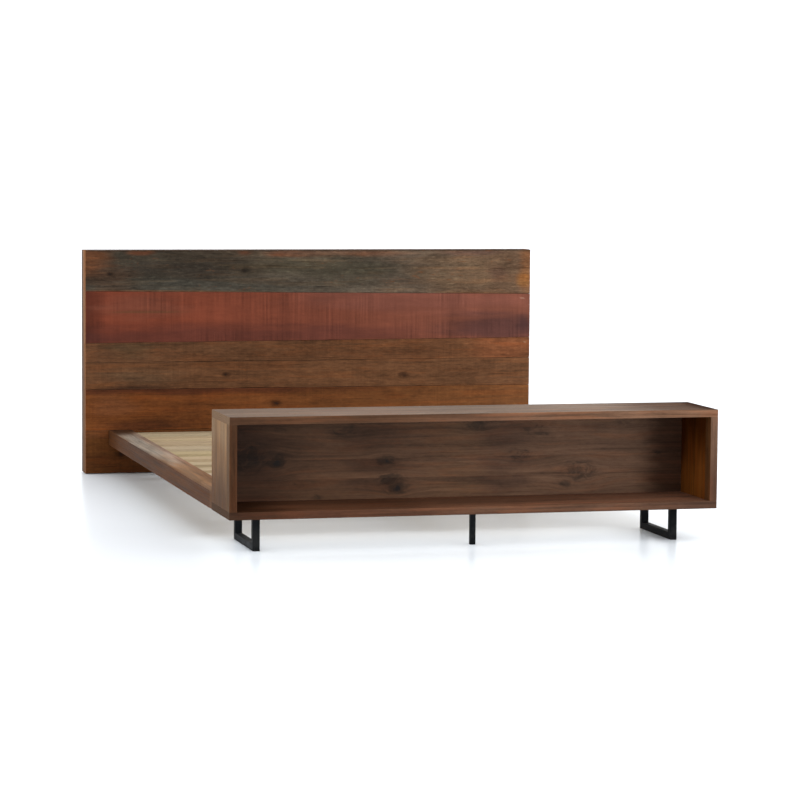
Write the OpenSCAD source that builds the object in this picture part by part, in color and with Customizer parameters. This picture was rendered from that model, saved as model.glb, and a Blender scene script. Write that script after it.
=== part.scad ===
// Platform bed frame with a planked headboard and a bookcase bench at the foot.
// Millimetres. X runs from the left side to the right one, Y from the foot to the head, Z is up.
// The origin is on the floor, under the middle of the whole frame.

/* [Mattress] */
// Width of the mattress that the deck takes
mattress_w = 1524; // [1450:1:1560]
// Length of the mattress that the deck takes
mattress_l = 2032; // [1900:1:2130]
// Slack left along the length of the mattress
mattress_slack = 9; // [4:1:20]
// Depth of the deck below the platform's top, which keeps the mattress in place
deck_recess = 12; // [8:1:20]

/* [Headboard] */
// Width of the headboard
headboard_w = 1905; // [1850:1:2000]
// Height of the headboard
headboard_h = 922; // [880:1:1000]
// Thickness of the face planks
plank_t = 22; // [18:1:26]
// Depth of the battens and end boards behind the planks
batten_d = 35; // [30:1:45]
// Depth of the back frame
back_frame_d = 40; // [35:1:50]
// Width of the back frame's posts
post_w = 140; // [130:1:160]
// Height of the back frame's rails
cross_rail_h = 90; // [70:1:100]

/* [Platform] */
// Height of the platform's top above the floor
platform_h = 182; // [178:1:190]
// Width of the border between the mattress and the bench
foot_border = 177; // [170:1:220]
// Thickness of a side rail's outer wall
rail_wall = 25; // [22:1:30]
// Number of slats, which have to match the slat names in NODES
slat_count = 11; // [11]
// Width of one slat
slat_w = 95; // [80:1:110]
// Thickness of one slat
slat_t = 18; // [16:1:20]
// Width of the centre beam
beam_w = 40; // [36:1:45]
// Height of the centre beam
beam_h = 60; // [55:1:65]

/* [Bench] */
// Width of the bookcase bench, which the side rails are flush with
bench_w = 1714; // [1700:1:1800]
// Depth of the bench from front to back
bench_d = 305; // [290:1:330]
// Height of the bench's box
bench_h = 343; // [320:1:380]
// Thickness of the bench's boards
bench_t = 26; // [24:1:28]
// Thickness of the bench's back boards
back_board_t = 14; // [12:1:16]
// Depth of the solid lipping at the front of each side
lipping_d = 50; // [45:1:60]

/* [Legs] */
// Height of the legs, which is the clearance under the frame
leg_h = 121; // [118:1:124]
// Side of the square steel tube
tube = 25; // [22:1:28]
// Length of a sled leg from front to back
sled_l = 320; // [310:1:325]
// Distance of a sled leg's outer face from the end of the bench
sled_inset = 103; // [80:1:120]
// Distance of a sled leg's front from the front of the bench
sled_setback = 114; // [110:1:118]
// Side of the centre post's square tube
post_tube = 19; // [16:1:25]
// Distance of the centre post's front from the front of the bench
post_setback = 133; // [100:1:160]
// Distance of the centre post's middle to the right of the frame's middle
post_offset = 21; // [0:1:40]
// Travel of a levelling foot
leveller_travel = 12; // [6:1:15]

/* [Hidden] */

$fn = 32;

// Places along Y, from the foot to the head
headboard_d = plank_t + batten_d + back_frame_d;
overall_l = bench_d + foot_border + mattress_slack + mattress_l + headboard_d;
front_y = -overall_l / 2;
bench_back_y = front_y + bench_d;
mattress_foot_y = bench_back_y + foot_border;
head_y = overall_l / 2 - headboard_d;
batten_y = head_y + plank_t;
back_frame_y = batten_y + batten_d;
back_y = overall_l / 2;

// Places along Z
bench_top_z = leg_h + bench_h;
bay_floor_z = leg_h + bench_t;
bay_ceiling_z = bench_top_z - bench_t;
deck_z = platform_h - deck_recess;
slat_under_z = deck_z - slat_t;

// Places along X
rail_inner_x = mattress_w / 2;
rail_outer_x = bench_w / 2;
rail_wall_x = rail_outer_x - rail_wall;
bench_inner_x = bench_w / 2 - bench_t;
headboard_x = headboard_w / 2;
end_board_w = 25;
end_board_x = headboard_x - end_board_w;
post_x = headboard_x - post_w;

// Planks, from the top down: the lower edge's height at the left and at the right end
glide_h = 3;
seam_left = [754, 541, 460, 349, 179, glide_h];
seam_right = [734, 549, 463, 347, 181, glide_h];
middle_batten_w = 90;
top_strip_t = 25;
panel_t = 6;
rebate_w = 10;
rebate_d = 8;
glide_r = 15;
glide_x = [-880, -300, 300, 880];

// Ledgers, aprons and the centre beam
ledger_shelf = 35;
apron_w = 80;
// How far the apron reaches past the rear of the sled legs
apron_past_leg = 18;
apron_y = front_y + sled_setback + sled_l + apron_past_leg - apron_w;
ledger_end_x = rail_inner_x - ledger_shelf;
foot_ledger_d = 25;
slat_end_gap = 8;
slat_fit = 1;
beam_z = slat_under_z - beam_h;
hanger_t = 2.5;
hanger_fit = 0.3;
hanger_depth = 40;
// How far a hanger's edge stays below the slats
hanger_drop = 1;
beam_foot_y = apron_y + apron_w + hanger_t;
beam_head_y = head_y - hanger_t;
support_y = [-150, 600];
support_w = 38;

// Back boards of the bench, from the top down: the lower edges
back_seams = [286, 219, bay_floor_z];

// Fasteners
hole_fit = 0.1;
screw_r = 2.4;
screw_head_r = 4.6;
screw_head_h = 3;
screw_sink = 0.3;
deck_screw_l = 38;
frame_screw_l = 48;
leg_screw_l = 22;
ledger_screw_l = 45;
support_screw_l = beam_h + 30;
// Heights of the screws that hold each plank, from the top plank down
plank_screw_z = [838, 648, 503, 404, 264, 91];
batten_screw_x = (post_x + end_board_x) / 2;
plank_screw_x = [-batten_screw_x, 0, batten_screw_x];
ledger_screw_x = (rail_inner_x + rail_wall_x) / 2;
ledger_screw_count = 7;
ledger_screw_margin = 120;
apron_screw_x = [-600, -200, 200, 600];
apron_screw_y = apron_y + 60;
foot_ledger_screw_x = [-560, -280, 0, 280, 560];
hanger_screw_x = [-12, 12];
hanger_screw_z = leg_h + 14;
sled_screw_y = [160, 270, 388];
support_screw_y = [-10, 10];
bolt_r = 4;
bolt_head_r = 10;
bolt_head_h = 4;
bolt_head_gap = 1;
bolt_recess = 10;
bolt_grip = 60;
bolt_z = [136, 166];
bolt_x = rail_outer_x - rail_wall / 2;
barrel_r = 6;
barrel_l = 20;
// The nut's centre is this far behind the bolt's tip
barrel_from_tip = 12;
barrel_y = head_y - bolt_grip + barrel_from_tip;
dowel_r = 4;
dowel_l = 40;
dowel_y = [25, 95, 180, 262];
leg_plate_t = 5;
tube_wall = 2;
sled_x = bench_w / 2 - sled_inset - tube;
post_plate = 50;
// Distance of a screw from the edge of the centre post's plate
post_screw_edge = 7;
post_middle_y = front_y + post_setback + post_tube / 2;
joint_plate = [64, 120, 3];
joint_plate_x = rail_wall_x - joint_plate[0] - 4;
joint_screw_x = [joint_plate_x + joint_plate[0] / 4, joint_plate_x + joint_plate[0] * 3 / 4];
joint_screw_y = [-42, 42];
foot_pad_r = 17;
foot_pad_h = 7;
jam_nut_h = 7;
jam_nut_r = 9.8;
stem_r = 5;
stem_fit = 0.05;
stem_l = 40;
stop_gap = 0.2;
support_z = foot_pad_h + jam_nut_h + stop_gap;

module box(low, high) {
    translate(low) cube(high - low);
}

// Draws its children at the right side, or mirrored at the left one
module on_side(side) {
    if (side == "left") mirror([1, 0, 0]) children();
    else children();
}

module on_both_sides() {
    children();
    mirror([1, 0, 0]) children();
}

// A countersunk wood screw that points down, its head just under z = 0
module screw(length) {
    translate([0, 0, -length]) cylinder(r = screw_r, h = length - screw_sink);
    translate([0, 0, -screw_sink - screw_head_h])
        cylinder(r1 = screw_r, r2 = screw_head_r, h = screw_head_h);
}

// The hole that a screw of that length sits in
module screw_hole(length) {
    translate([0, 0, -length - 1]) cylinder(r = screw_r + hole_fit, h = length + 2);
    translate([0, 0, -screw_sink - screw_head_h])
        cylinder(r1 = screw_r + hole_fit, r2 = screw_head_r + hole_fit, h = screw_head_h);
    translate([0, 0, -screw_sink]) cylinder(r = screw_head_r + hole_fit, h = screw_sink + 1);
}

// Slats are numbered from the foot to the head
slat_run = head_y - mattress_foot_y - 2 * slat_end_gap;
slat_pitch = (slat_run - slat_w) / (slat_count - 1);
function slat_y(i) = mattress_foot_y + slat_end_gap + i * slat_pitch;

// Deck screws: two at each end of every slat, and one in the beam
deck_screw_x = rail_inner_x - ledger_shelf / 2;
slat_quarter = slat_w / 4;

module at_deck_screws() {
    for (i = [0 : slat_count - 1]) {
        middle_y = slat_y(i) + slat_w / 2;
        translate([0, middle_y, deck_z]) children();
        for (x = [-deck_screw_x, deck_screw_x], y = [-slat_quarter, slat_quarter])
            translate([x, middle_y + y, deck_z]) children();
    }
}

// Screws that hold a ledger under its rail, driven upwards
module at_ledger_screws() {
    run = head_y - bench_back_y - 2 * ledger_screw_margin;
    for (i = [0 : ledger_screw_count - 1])
        translate([ledger_screw_x,
            bench_back_y + ledger_screw_margin + i * run / (ledger_screw_count - 1), leg_h])
            mirror([0, 0, 1]) children();
}

// Screws through the apron, up into the foot board
module at_apron_screws() {
    for (x = apron_screw_x)
        translate([x, apron_screw_y, leg_h]) mirror([0, 0, 1]) children();
}

// Screws through the foot ledger, forwards into the bench's bottom board
module at_foot_ledger_screws() {
    for (x = foot_ledger_screw_x)
        translate([x, bench_back_y + foot_ledger_d, leg_h + bench_t / 2])
            rotate([-90, 0, 0]) children();
}

// Screws through a sled leg's top plate: the rear one goes into the slat ledger
module at_sled_screws() {
    for (y = sled_screw_y)
        translate([sled_x + tube / 2, front_y + y, leg_h - leg_plate_t])
            mirror([0, 0, 1]) children();
}

// Screws at the corners of the centre post's top plate
module at_post_screws() {
    reach = post_plate / 2 - post_screw_edge;
    for (x = [-reach, reach], y = [-reach, reach])
        translate([post_offset + x, post_middle_y + y, leg_h - leg_plate_t])
            mirror([0, 0, 1]) children();
}

// Screws in the plate that joins a side rail's ledger to the bench
module at_plate_screws() {
    for (x = joint_screw_x, y = joint_screw_y)
        translate([x, bench_back_y + y, leg_h - joint_plate[2]])
            mirror([0, 0, 1]) children();
}

// Screws that hold each support leg, driven down through the centre beam
module at_support_screws() {
    for (y = support_y, dy = support_screw_y)
        translate([0, y + dy, slat_under_z]) children();
}

// Screws through the battens, forwards into the planks
module at_plank_screws(x) {
    for (z = plank_screw_z) translate([x, back_frame_y, z]) rotate([-90, 0, 0]) children();
}

// Rail bolts run forwards through the headboard, into barrel nuts in the rail
module at_rail_bolts() {
    for (z = bolt_z) translate([bolt_x, 0, z]) children();
}

module rail_bolt_holes() {
    at_rail_bolts() translate([0, head_y - bolt_grip - 1, 0]) rotate([-90, 0, 0])
        cylinder(r = bolt_r + hole_fit, h = headboard_d + bolt_grip + 2);
}

module plank_color(i) {
    tone = ["#5a4e43", "#74402f", "#5c4632", "#6a5238", "#7a4a28", "#553620"];
    color(tone[i]) children();
}

// Face planks, each as wide as the headboard, with edges that aren't quite level
module headboard_plank(i) {
    top_left = i == 0 ? headboard_h : seam_left[i - 1];
    top_right = i == 0 ? headboard_h : seam_right[i - 1];
    plank_color(i) difference() {
        translate([0, batten_y, 0]) rotate([90, 0, 0]) linear_extrude(plank_t)
            polygon([[-headboard_x, seam_left[i]], [headboard_x, seam_right[i]],
                [headboard_x, top_right], [-headboard_x, top_left]]);
        for (x = plank_screw_x) at_plank_screws(x) screw_hole(frame_screw_l);
        if (i == len(seam_left) - 1) {
            on_both_sides() rail_bolt_holes();
            at_hanger_screws() screw_hole(leg_screw_l);
        }
    }
}

module headboard_end(side) {
    color("#9c7a55") on_side(side)
        box([end_board_x, batten_y, glide_h], [headboard_x, back_frame_y, headboard_h]);
}

module headboard_top_strip() {
    color("#6b5138") box([-end_board_x, batten_y, headboard_h - top_strip_t],
        [end_board_x, back_frame_y, headboard_h]);
}

module headboard_batten(side) {
    color("#b08d5f") on_side(side) difference() {
        box([post_x, batten_y, glide_h],
            [end_board_x, back_frame_y, headboard_h - top_strip_t]);
        at_plank_screws(batten_screw_x) screw_hole(frame_screw_l);
        rail_bolt_holes();
    }
}

module headboard_batten_middle() {
    color("#b08d5f") difference() {
        box([-middle_batten_w / 2, batten_y, glide_h],
            [middle_batten_w / 2, back_frame_y, headboard_h - top_strip_t]);
        at_plank_screws(0) screw_hole(frame_screw_l);
    }
}

// The rebate in the back frame that the back panel lies in
module panel_rebate() {
    box([-post_x - rebate_w, back_y - rebate_d, glide_h + cross_rail_h - rebate_w],
        [post_x + rebate_w, back_y + 1, headboard_h - cross_rail_h + rebate_w]);
}

module headboard_post(side) {
    color("#5b3f2b") on_side(side) difference() {
        box([post_x, back_frame_y, glide_h], [headboard_x, back_y, headboard_h]);
        panel_rebate();
        rail_bolt_holes();
        at_rail_bolts() translate([0, back_y - bolt_recess, 0]) rotate([-90, 0, 0])
            cylinder(r = bolt_head_r + bolt_head_gap, h = bolt_recess + 1);
    }
}

module headboard_cross_rail(low_z) {
    color("#5b3f2b") difference() {
        box([-post_x, back_frame_y, low_z], [post_x, back_y, low_z + cross_rail_h]);
        panel_rebate();
    }
}

module headboard_back_panel() {
    color("#6a4c34") box(
        [-post_x - rebate_w, back_y - rebate_d, glide_h + cross_rail_h - rebate_w],
        [post_x + rebate_w, back_y - rebate_d + panel_t,
            headboard_h - cross_rail_h + rebate_w]);
}

module headboard_glides() {
    color("#d8d4c8") for (x = glide_x)
        translate([x, back_frame_y + back_frame_d / 2, 0]) cylinder(r = glide_r, h = glide_h);
}

// A side rail: an outer wall and a wide top in one L-shaped section
module side_rail(side) {
    color("#7b5a43") on_side(side) difference() {
        translate([0, head_y, 0]) rotate([90, 0, 0]) linear_extrude(head_y - bench_back_y)
            polygon([[rail_inner_x, slat_under_z], [rail_wall_x, slat_under_z],
                [rail_wall_x, leg_h], [rail_outer_x, leg_h], [rail_outer_x, platform_h],
                [rail_inner_x, platform_h]]);
        at_ledger_screws() screw_hole(ledger_screw_l);
        rail_bolt_holes();
        translate([bolt_x, barrel_y, leg_h - 1])
            cylinder(r = barrel_r + hole_fit, h = bolt_z[1] + barrel_l / 2 - leg_h + 2);
    }
}

// The ledger under a side rail: the slats rest on the part that stands out
module slat_ledger(side) {
    color("#b08d5f") on_side(side) difference() {
        box([rail_inner_x - ledger_shelf, bench_back_y, leg_h],
            [rail_wall_x, head_y, slat_under_z]);
        at_ledger_screws() screw_hole(ledger_screw_l);
        at_deck_screws() screw_hole(deck_screw_l);
        at_plate_screws() screw_hole(leg_screw_l);
        at_sled_screws() screw_hole(leg_screw_l);
    }
}

module foot_board() {
    color("#7b5a43") difference() {
        box([-rail_inner_x, bench_back_y, slat_under_z],
            [rail_inner_x, mattress_foot_y, platform_h]);
        at_apron_screws() screw_hole(frame_screw_l);
    }
}

module foot_ledger() {
    color("#b08d5f") difference() {
        box([-ledger_end_x, bench_back_y, leg_h],
            [ledger_end_x, bench_back_y + foot_ledger_d, slat_under_z]);
        at_foot_ledger_screws() screw_hole(frame_screw_l);
    }
}

module foot_apron() {
    color("#b08d5f") difference() {
        box([-ledger_end_x, apron_y, leg_h], [ledger_end_x, apron_y + apron_w, slat_under_z]);
        at_apron_screws() screw_hole(frame_screw_l);
        at_hanger_screws() screw_hole(leg_screw_l);
    }
}

// The beam runs from the hanger on the apron to the hanger on the headboard
module centre_beam() {
    color("#a8855a") difference() {
        box([-beam_w / 2, beam_foot_y, beam_z], [beam_w / 2, beam_head_y, slat_under_z]);
        at_deck_screws() screw_hole(deck_screw_l);
        at_support_screws() screw_hole(support_screw_l);
    }
}

// A sheet steel pocket that one end of the beam drops into, its back plate at y = 0
module beam_hanger() {
    reach = beam_w / 2 + hanger_fit + hanger_t;
    difference() {
        box([-reach, 0, beam_z - hanger_fit - hanger_t],
            [reach, hanger_depth, slat_under_z - hanger_drop]);
        box([-reach + hanger_t, hanger_t, beam_z - hanger_fit],
            [reach - hanger_t, hanger_depth + 1, slat_under_z]);
    }
}

module at_hanger_screws() {
    for (x = hanger_screw_x) {
        translate([x, beam_foot_y, hanger_screw_z]) rotate([-90, 0, 0]) children();
        translate([x, beam_head_y, hanger_screw_z]) rotate([90, 0, 0]) children();
    }
}

module beam_hangers() {
    color("#9a9a98") difference() {
        union() {
            translate([0, beam_foot_y - hanger_t, 0]) beam_hanger();
            translate([0, head_y, 0]) mirror([0, 1, 0]) beam_hanger();
        }
        at_hanger_screws() screw_hole(leg_screw_l);
    }
}

module slat(i) {
    color("#c8a877") difference() {
        box([-rail_inner_x + slat_fit, slat_y(i), slat_under_z],
            [rail_inner_x - slat_fit, slat_y(i) + slat_w, deck_z]);
        at_deck_screws() screw_hole(deck_screw_l);
    }
}

// Dowels join the bench's top and bottom to its sides
module at_dowels() {
    for (y = dowel_y, z = [bay_floor_z, bay_ceiling_z])
        translate([bench_w / 2 - bench_t / 2, front_y + y, z]) children();
}

module dowel_holes() {
    on_both_sides() at_dowels()
        cylinder(r = dowel_r + hole_fit, h = dowel_l + 1, center = true);
}

module bench_board(low_z) {
    difference() {
        box([-bench_w / 2, front_y, low_z], [bench_w / 2, bench_back_y, low_z + bench_t]);
        dowel_holes();
    }
}

module bench_top() {
    color("#857060") bench_board(bay_ceiling_z);
}

module bench_bottom() {
    color("#7a5640") difference() {
        bench_board(leg_h);
        on_both_sides() at_sled_screws() screw_hole(leg_screw_l);
        on_both_sides() at_plate_screws() screw_hole(leg_screw_l);
        at_post_screws() screw_hole(leg_screw_l);
        at_foot_ledger_screws() screw_hole(frame_screw_l);
    }
}

module bench_side(side) {
    color("#8a6a50") on_side(side) difference() {
        box([bench_inner_x, front_y + lipping_d, bay_floor_z],
            [bench_w / 2, bench_back_y, bay_ceiling_z]);
        dowel_holes();
    }
}

module bench_lipping(side) {
    color("#7a5640") on_side(side) difference() {
        box([bench_inner_x, front_y, bay_floor_z],
            [bench_w / 2, front_y + lipping_d, bay_ceiling_z]);
        dowel_holes();
    }
}

module bench_back_board(i) {
    top_z = i == 0 ? bay_ceiling_z : back_seams[i - 1];
    color("#45332a") box([-bench_inner_x, bench_back_y - back_board_t, back_seams[i]],
        [bench_inner_x, bench_back_y, top_z]);
}

// A sled leg: a loop of square tube under a flat plate
module sled_leg(side) {
    sled_y = front_y + sled_setback;
    color("#232527") on_side(side) difference() {
        box([sled_x, sled_y, 0], [sled_x + tube, sled_y + sled_l, leg_h]);
        box([sled_x - 1, sled_y + tube, tube],
            [sled_x + tube + 1, sled_y + sled_l - tube, leg_h - leg_plate_t]);
        at_sled_screws() screw_hole(leg_screw_l);
        box([sled_x + tube_wall, sled_y + tube_wall, tube_wall],
            [sled_x + tube - tube_wall, sled_y + sled_l - tube_wall, tube - tube_wall]);
        for (y = [sled_y, sled_y + sled_l - tube])
            box([sled_x + tube_wall, y + tube_wall, tube_wall],
                [sled_x + tube - tube_wall, y + tube - tube_wall, leg_h - leg_plate_t]);
    }
}

module centre_post() {
    color("#232527") translate([post_offset, post_middle_y, 0]) difference() {
        union() {
            box([-post_tube / 2, -post_tube / 2, 0],
                [post_tube / 2, post_tube / 2, leg_h - leg_plate_t]);
            box([-post_plate / 2, -post_plate / 2, leg_h - leg_plate_t],
                [post_plate / 2, post_plate / 2, leg_h]);
        }
        box([-post_tube / 2 + tube_wall, -post_tube / 2 + tube_wall, tube_wall],
            [post_tube / 2 - tube_wall, post_tube / 2 - tube_wall, leg_h - leg_plate_t]);
        translate([-post_offset, -post_middle_y, 0]) at_post_screws() screw_hole(leg_screw_l);
    }
}

module support_leg(i) {
    color("#a8855a") translate([0, support_y[i], 0]) difference() {
        box([-support_w / 2, -support_w / 2, support_z], [support_w / 2, support_w / 2, beam_z]);
        cylinder(r = stem_r + stem_fit, h = support_z + stem_l + 2);
        translate([0, -support_y[i], 0]) at_support_screws() screw_hole(support_screw_l);
    }
}

// A levelling foot: a pad, a hexagonal jam nut and a stem that screws into its leg
module levelling_foot(i) {
    color("#2c2d2e") translate([0, support_y[i], 0]) {
        cylinder(r = foot_pad_r, h = foot_pad_h);
        cylinder(r = jam_nut_r, h = foot_pad_h + jam_nut_h, $fn = 6);
        cylinder(r = stem_r, h = foot_pad_h + jam_nut_h + stem_l - leveller_travel / 2);
    }
}

module rail_plates() {
    color("#9a9a98") on_both_sides() difference() {
        box([joint_plate_x, bench_back_y - joint_plate[1] / 2, leg_h - joint_plate[2]],
            [joint_plate_x + joint_plate[0], bench_back_y + joint_plate[1] / 2, leg_h]);
        at_plate_screws() screw_hole(leg_screw_l);
    }
}

module bench_dowels() {
    color("#c8a877") on_both_sides() at_dowels()
        cylinder(r = dowel_r, h = dowel_l, center = true);
}

module deck_screws() {
    color("#b0b0aa") {
        at_deck_screws() screw(deck_screw_l);
        on_both_sides() at_ledger_screws() screw(ledger_screw_l);
    }
}

module frame_screws() {
    color("#55565a") {
        for (x = plank_screw_x) at_plank_screws(x) screw(frame_screw_l);
        at_apron_screws() screw(frame_screw_l);
        at_foot_ledger_screws() screw(frame_screw_l);
        at_hanger_screws() screw(leg_screw_l);
        at_post_screws() screw(leg_screw_l);
        on_both_sides() at_sled_screws() screw(leg_screw_l);
        on_both_sides() at_plate_screws() screw(leg_screw_l);
        at_support_screws() screw(support_screw_l);
    }
}

// Each bolt is drawn with the barrel nut that it is screwed into
module rail_bolts() {
    color("#77787a") on_both_sides() at_rail_bolts() {
        translate([0, head_y - bolt_grip, 0]) rotate([-90, 0, 0])
            cylinder(r = bolt_r, h = bolt_grip + headboard_d - bolt_recess);
        translate([0, back_y - bolt_recess, 0]) rotate([-90, 0, 0])
            cylinder(r = bolt_head_r, h = bolt_head_h);
        translate([0, barrel_y, -barrel_l / 2])
            cylinder(r = barrel_r, h = barrel_l);
    }
}

headboard_plank(0);  // headboard_plank_1
headboard_plank(1);  // headboard_plank_2
headboard_plank(2);  // headboard_plank_3
headboard_plank(3);  // headboard_plank_4
headboard_plank(4);  // headboard_plank_5
headboard_plank(5);  // headboard_plank_6
headboard_end("left");  // headboard_end_left
headboard_end("right");  // headboard_end_right
headboard_top_strip();
headboard_batten("left");  // headboard_batten_left
headboard_batten_middle();
headboard_batten("right");  // headboard_batten_right
headboard_post("left");  // headboard_post_left
headboard_post("right");  // headboard_post_right
headboard_cross_rail(headboard_h - cross_rail_h);  // headboard_rail_top
headboard_cross_rail(glide_h);  // headboard_rail_bottom
headboard_back_panel();
headboard_glides();
side_rail("left");  // side_rail_left
side_rail("right");  // side_rail_right
slat_ledger("left");  // slat_ledger_left
slat_ledger("right");  // slat_ledger_right
foot_board();
foot_ledger();
foot_apron();
centre_beam();
beam_hangers();
for (i = [0 : slat_count - 1])
    slat(i);
bench_top();
bench_bottom();
bench_side("left");  // bench_side_left
bench_side("right");  // bench_side_right
bench_lipping("left");  // bench_lipping_left
bench_lipping("right");  // bench_lipping_right
bench_back_board(0);  // bench_back_board_1
bench_back_board(1);  // bench_back_board_2
bench_back_board(2);  // bench_back_board_3
sled_leg("left");  // sled_leg_left
sled_leg("right");  // sled_leg_right
centre_post();
support_leg(0);  // support_leg_1
support_leg(1);  // support_leg_2
levelling_foot(0);  // levelling_foot_1
levelling_foot(1);  // levelling_foot_2
rail_plates();
bench_dowels();
deck_screws();
frame_screws();
rail_bolts();
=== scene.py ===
"""Looks of a platform bed frame with a planked headboard and a bookcase bench at its foot.

Lengths are metres, but millimetres in the profiles of turned parts and holes, in knots, and in
a board's radius, step and rough. X runs from the left side to the right, Y from the foot to the
head, Z up. Every wooden piece is meshed with eased, worn edges, and carries attributes for its
material: grain (place along, across and through the wood), tint, wear, knot, cap and satin. On
some boards the tint also holds painted light and shade.
"""

import itertools
import math

import bmesh
import bpy
import numpy as np
from mathutils import Matrix, Vector


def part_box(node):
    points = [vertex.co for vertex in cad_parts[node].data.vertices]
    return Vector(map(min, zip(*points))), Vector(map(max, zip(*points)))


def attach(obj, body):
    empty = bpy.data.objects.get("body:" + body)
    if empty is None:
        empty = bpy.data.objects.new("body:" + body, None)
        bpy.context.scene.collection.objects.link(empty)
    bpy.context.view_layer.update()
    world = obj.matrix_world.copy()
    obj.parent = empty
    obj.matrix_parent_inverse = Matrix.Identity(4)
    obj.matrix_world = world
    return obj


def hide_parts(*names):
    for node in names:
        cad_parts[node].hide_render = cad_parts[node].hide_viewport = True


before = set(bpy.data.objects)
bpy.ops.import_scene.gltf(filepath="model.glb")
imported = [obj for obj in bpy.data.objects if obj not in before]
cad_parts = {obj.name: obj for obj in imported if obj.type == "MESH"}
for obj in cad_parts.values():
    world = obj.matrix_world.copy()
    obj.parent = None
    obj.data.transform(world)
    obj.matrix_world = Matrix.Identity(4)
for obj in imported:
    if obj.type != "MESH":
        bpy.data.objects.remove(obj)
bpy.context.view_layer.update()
MM = 0.001
ROOT = "frame"
STUDIO_LIGHT = 1.40  # the light on a face that meets the key light, where 1 is full white
SHARP_ANGLE = math.radians(35)
SAME = 1e-6  # places closer than this are one
KNOT_STRETCH = 1.8  # how much longer a knot is along the grain than across it
HOLE_CELL = 1.3  # half the width of the grid cell around a hole, in radii of the hole
X, Y, Z = 0, 1, 2
# the axis along the grain, the one across the face and the one through the board
GRAIN_X, GRAIN_X_FLAT, GRAIN_Y_FLAT = (X, Z, Y), (X, Y, Z), (Y, X, Z)
GRAIN_Y_UPRIGHT, GRAIN_Z, GRAIN_Z_SIDE = (Y, Z, X), (Z, X, Y), (Z, Y, X)


# ---------------------------------------------------------------- numbers and noise

def linear(red, green, blue):
    """A colour given as 0 to 255 screen values, as linear light."""
    c = np.array([red, green, blue], float) / 255
    return np.where(c <= 0.04045, c / 12.92, ((c + 0.055) / 1.055) ** 2.4)


def tone(red, green, blue):
    """A material's colour, from the screen values it should show under the studio's light."""
    return linear(red, green, blue) / STUDIO_LIGHT


def shown(colour):
    """A colour as it is, or, if it is a tuple of screen values, its tone."""
    return tone(*colour) if isinstance(colour, tuple) else colour


def smooth(low, high, value):
    t = np.clip((value - low) / (high - low), 0, 1)
    return t * t * (3 - 2 * t)


def lattice(i, j, k, seed):
    """A repeatable random number from 0 to 1 at each whole-number point."""
    h = (i.astype(np.int64) * 374761393 + j.astype(np.int64) * 668265263
         + k.astype(np.int64) * 2147483647 + seed * 974634777) & 0xFFFFFFFF
    h = ((h ^ (h >> 13)) * 1274126177) & 0xFFFFFFFF
    return ((h ^ (h >> 16)) & 0xFFFFFF) / float(0xFFFFFF)


def noise(points, scale, seed, octaves=1):
    """Smooth value noise from -1 to 1. scale is cycles per metre along each axis."""
    p = np.asarray(points) * np.asarray(scale, float)
    total, amount, norm = 0, 1.0, 0
    for octave in range(octaves):
        cell = np.floor(p).astype(np.int64)
        f = p - cell
        f = f * f * (3 - 2 * f)
        value = 0
        for corner in itertools.product((0, 1), repeat=3):
            weight = np.where(corner, f, 1 - f).prod(axis=1)
            value = value + weight * lattice(*(cell + corner).T, seed + 31 * octave)
        total = total + amount * (2 * value - 1)
        norm += amount
        amount *= 0.5
        p = p * 2.03
    return total / norm


# ---------------------------------------------------------------- meshes

def linked(name, data):
    piece = bpy.data.objects.new(name, data)
    bpy.context.scene.collection.objects.link(piece)
    return piece


def mesh_object(name, points, faces, smooth_shading=True):
    mesh = bpy.data.meshes.new(name)
    mesh.from_pydata([tuple(p) for p in points], [], [tuple(f) for f in faces])
    mesh.validate()
    mesh.polygons.foreach_set("use_smooth", [smooth_shading] * len(mesh.polygons))
    if smooth_shading:
        mesh.set_sharp_from_angle(angle=SHARP_ANGLE)
    mesh.update()
    return linked(name, mesh)


def weighted_normals(piece):
    modifier = piece.modifiers.new("weighted normals", "WEIGHTED_NORMAL")
    modifier.keep_sharp = True
    modifier.weight = 80
    return piece


def with_cells(lines, centres, half):
    """The grid lines along one axis, with a cell of its own around each hole's centre."""
    for centre in centres:
        lines = lines[np.abs(lines - centre) > 1.02 * half]
        lines = np.append(lines, [centre - half, centre + half])
    return np.unique(np.round(lines, 7))


def face_lines(length, radius, step, steps_round):
    """Places of the grid lines along one axis of a box, closer together over its rounding."""
    ease = radius * (1 - np.tan(np.radians(np.linspace(45, 0, steps_round + 1)[:-1])))
    count = max(2, int(math.ceil((length - 2 * radius) / step)) + 1)
    inner = np.linspace(radius, length - radius, count)
    return np.concatenate([ease, inner, (length - ease)[::-1]])


def box_grid(size, radius, steps, holes=(), steps_round=3):
    """Points and quads of a box's surface, as a grid on each side, all facing outwards."""
    lines = []
    for axis in range(3):
        own = face_lines(size[axis], radius, steps[axis], steps_round)
        centres = [hole[0][axis] for hole in holes if hole[1] != axis]
        half = max([HOLE_CELL * hole[3][0][0] * MM for hole in holes], default=0)
        lines.append(with_cells(own, sorted(set(np.round(centres, 6))), half))
    points, faces, start = [], [], 0
    for axis in range(3):
        u, v = (axis + 1) % 3, (axis + 2) % 3
        grid_u, grid_v = np.meshgrid(lines[u], lines[v], indexing="ij")
        count_u, count_v = grid_u.shape
        index = np.arange(count_u * count_v).reshape(count_u, count_v)
        quads = np.stack([index[:-1, :-1], index[1:, :-1], index[1:, 1:], index[:-1, 1:]], -1)
        for place_at, flip in ((size[axis], False), (0, True)):
            sheet = np.zeros((count_u * count_v, 3))
            sheet[:, axis], sheet[:, u], sheet[:, v] = place_at, grid_u.ravel(), grid_v.ravel()
            points.append(sheet)
            faces.append(quads.reshape(-1, 4)[:, ::-1 if flip else 1] + start)
            start += len(sheet)
    return weld(np.concatenate(points), np.concatenate(faces))


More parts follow.
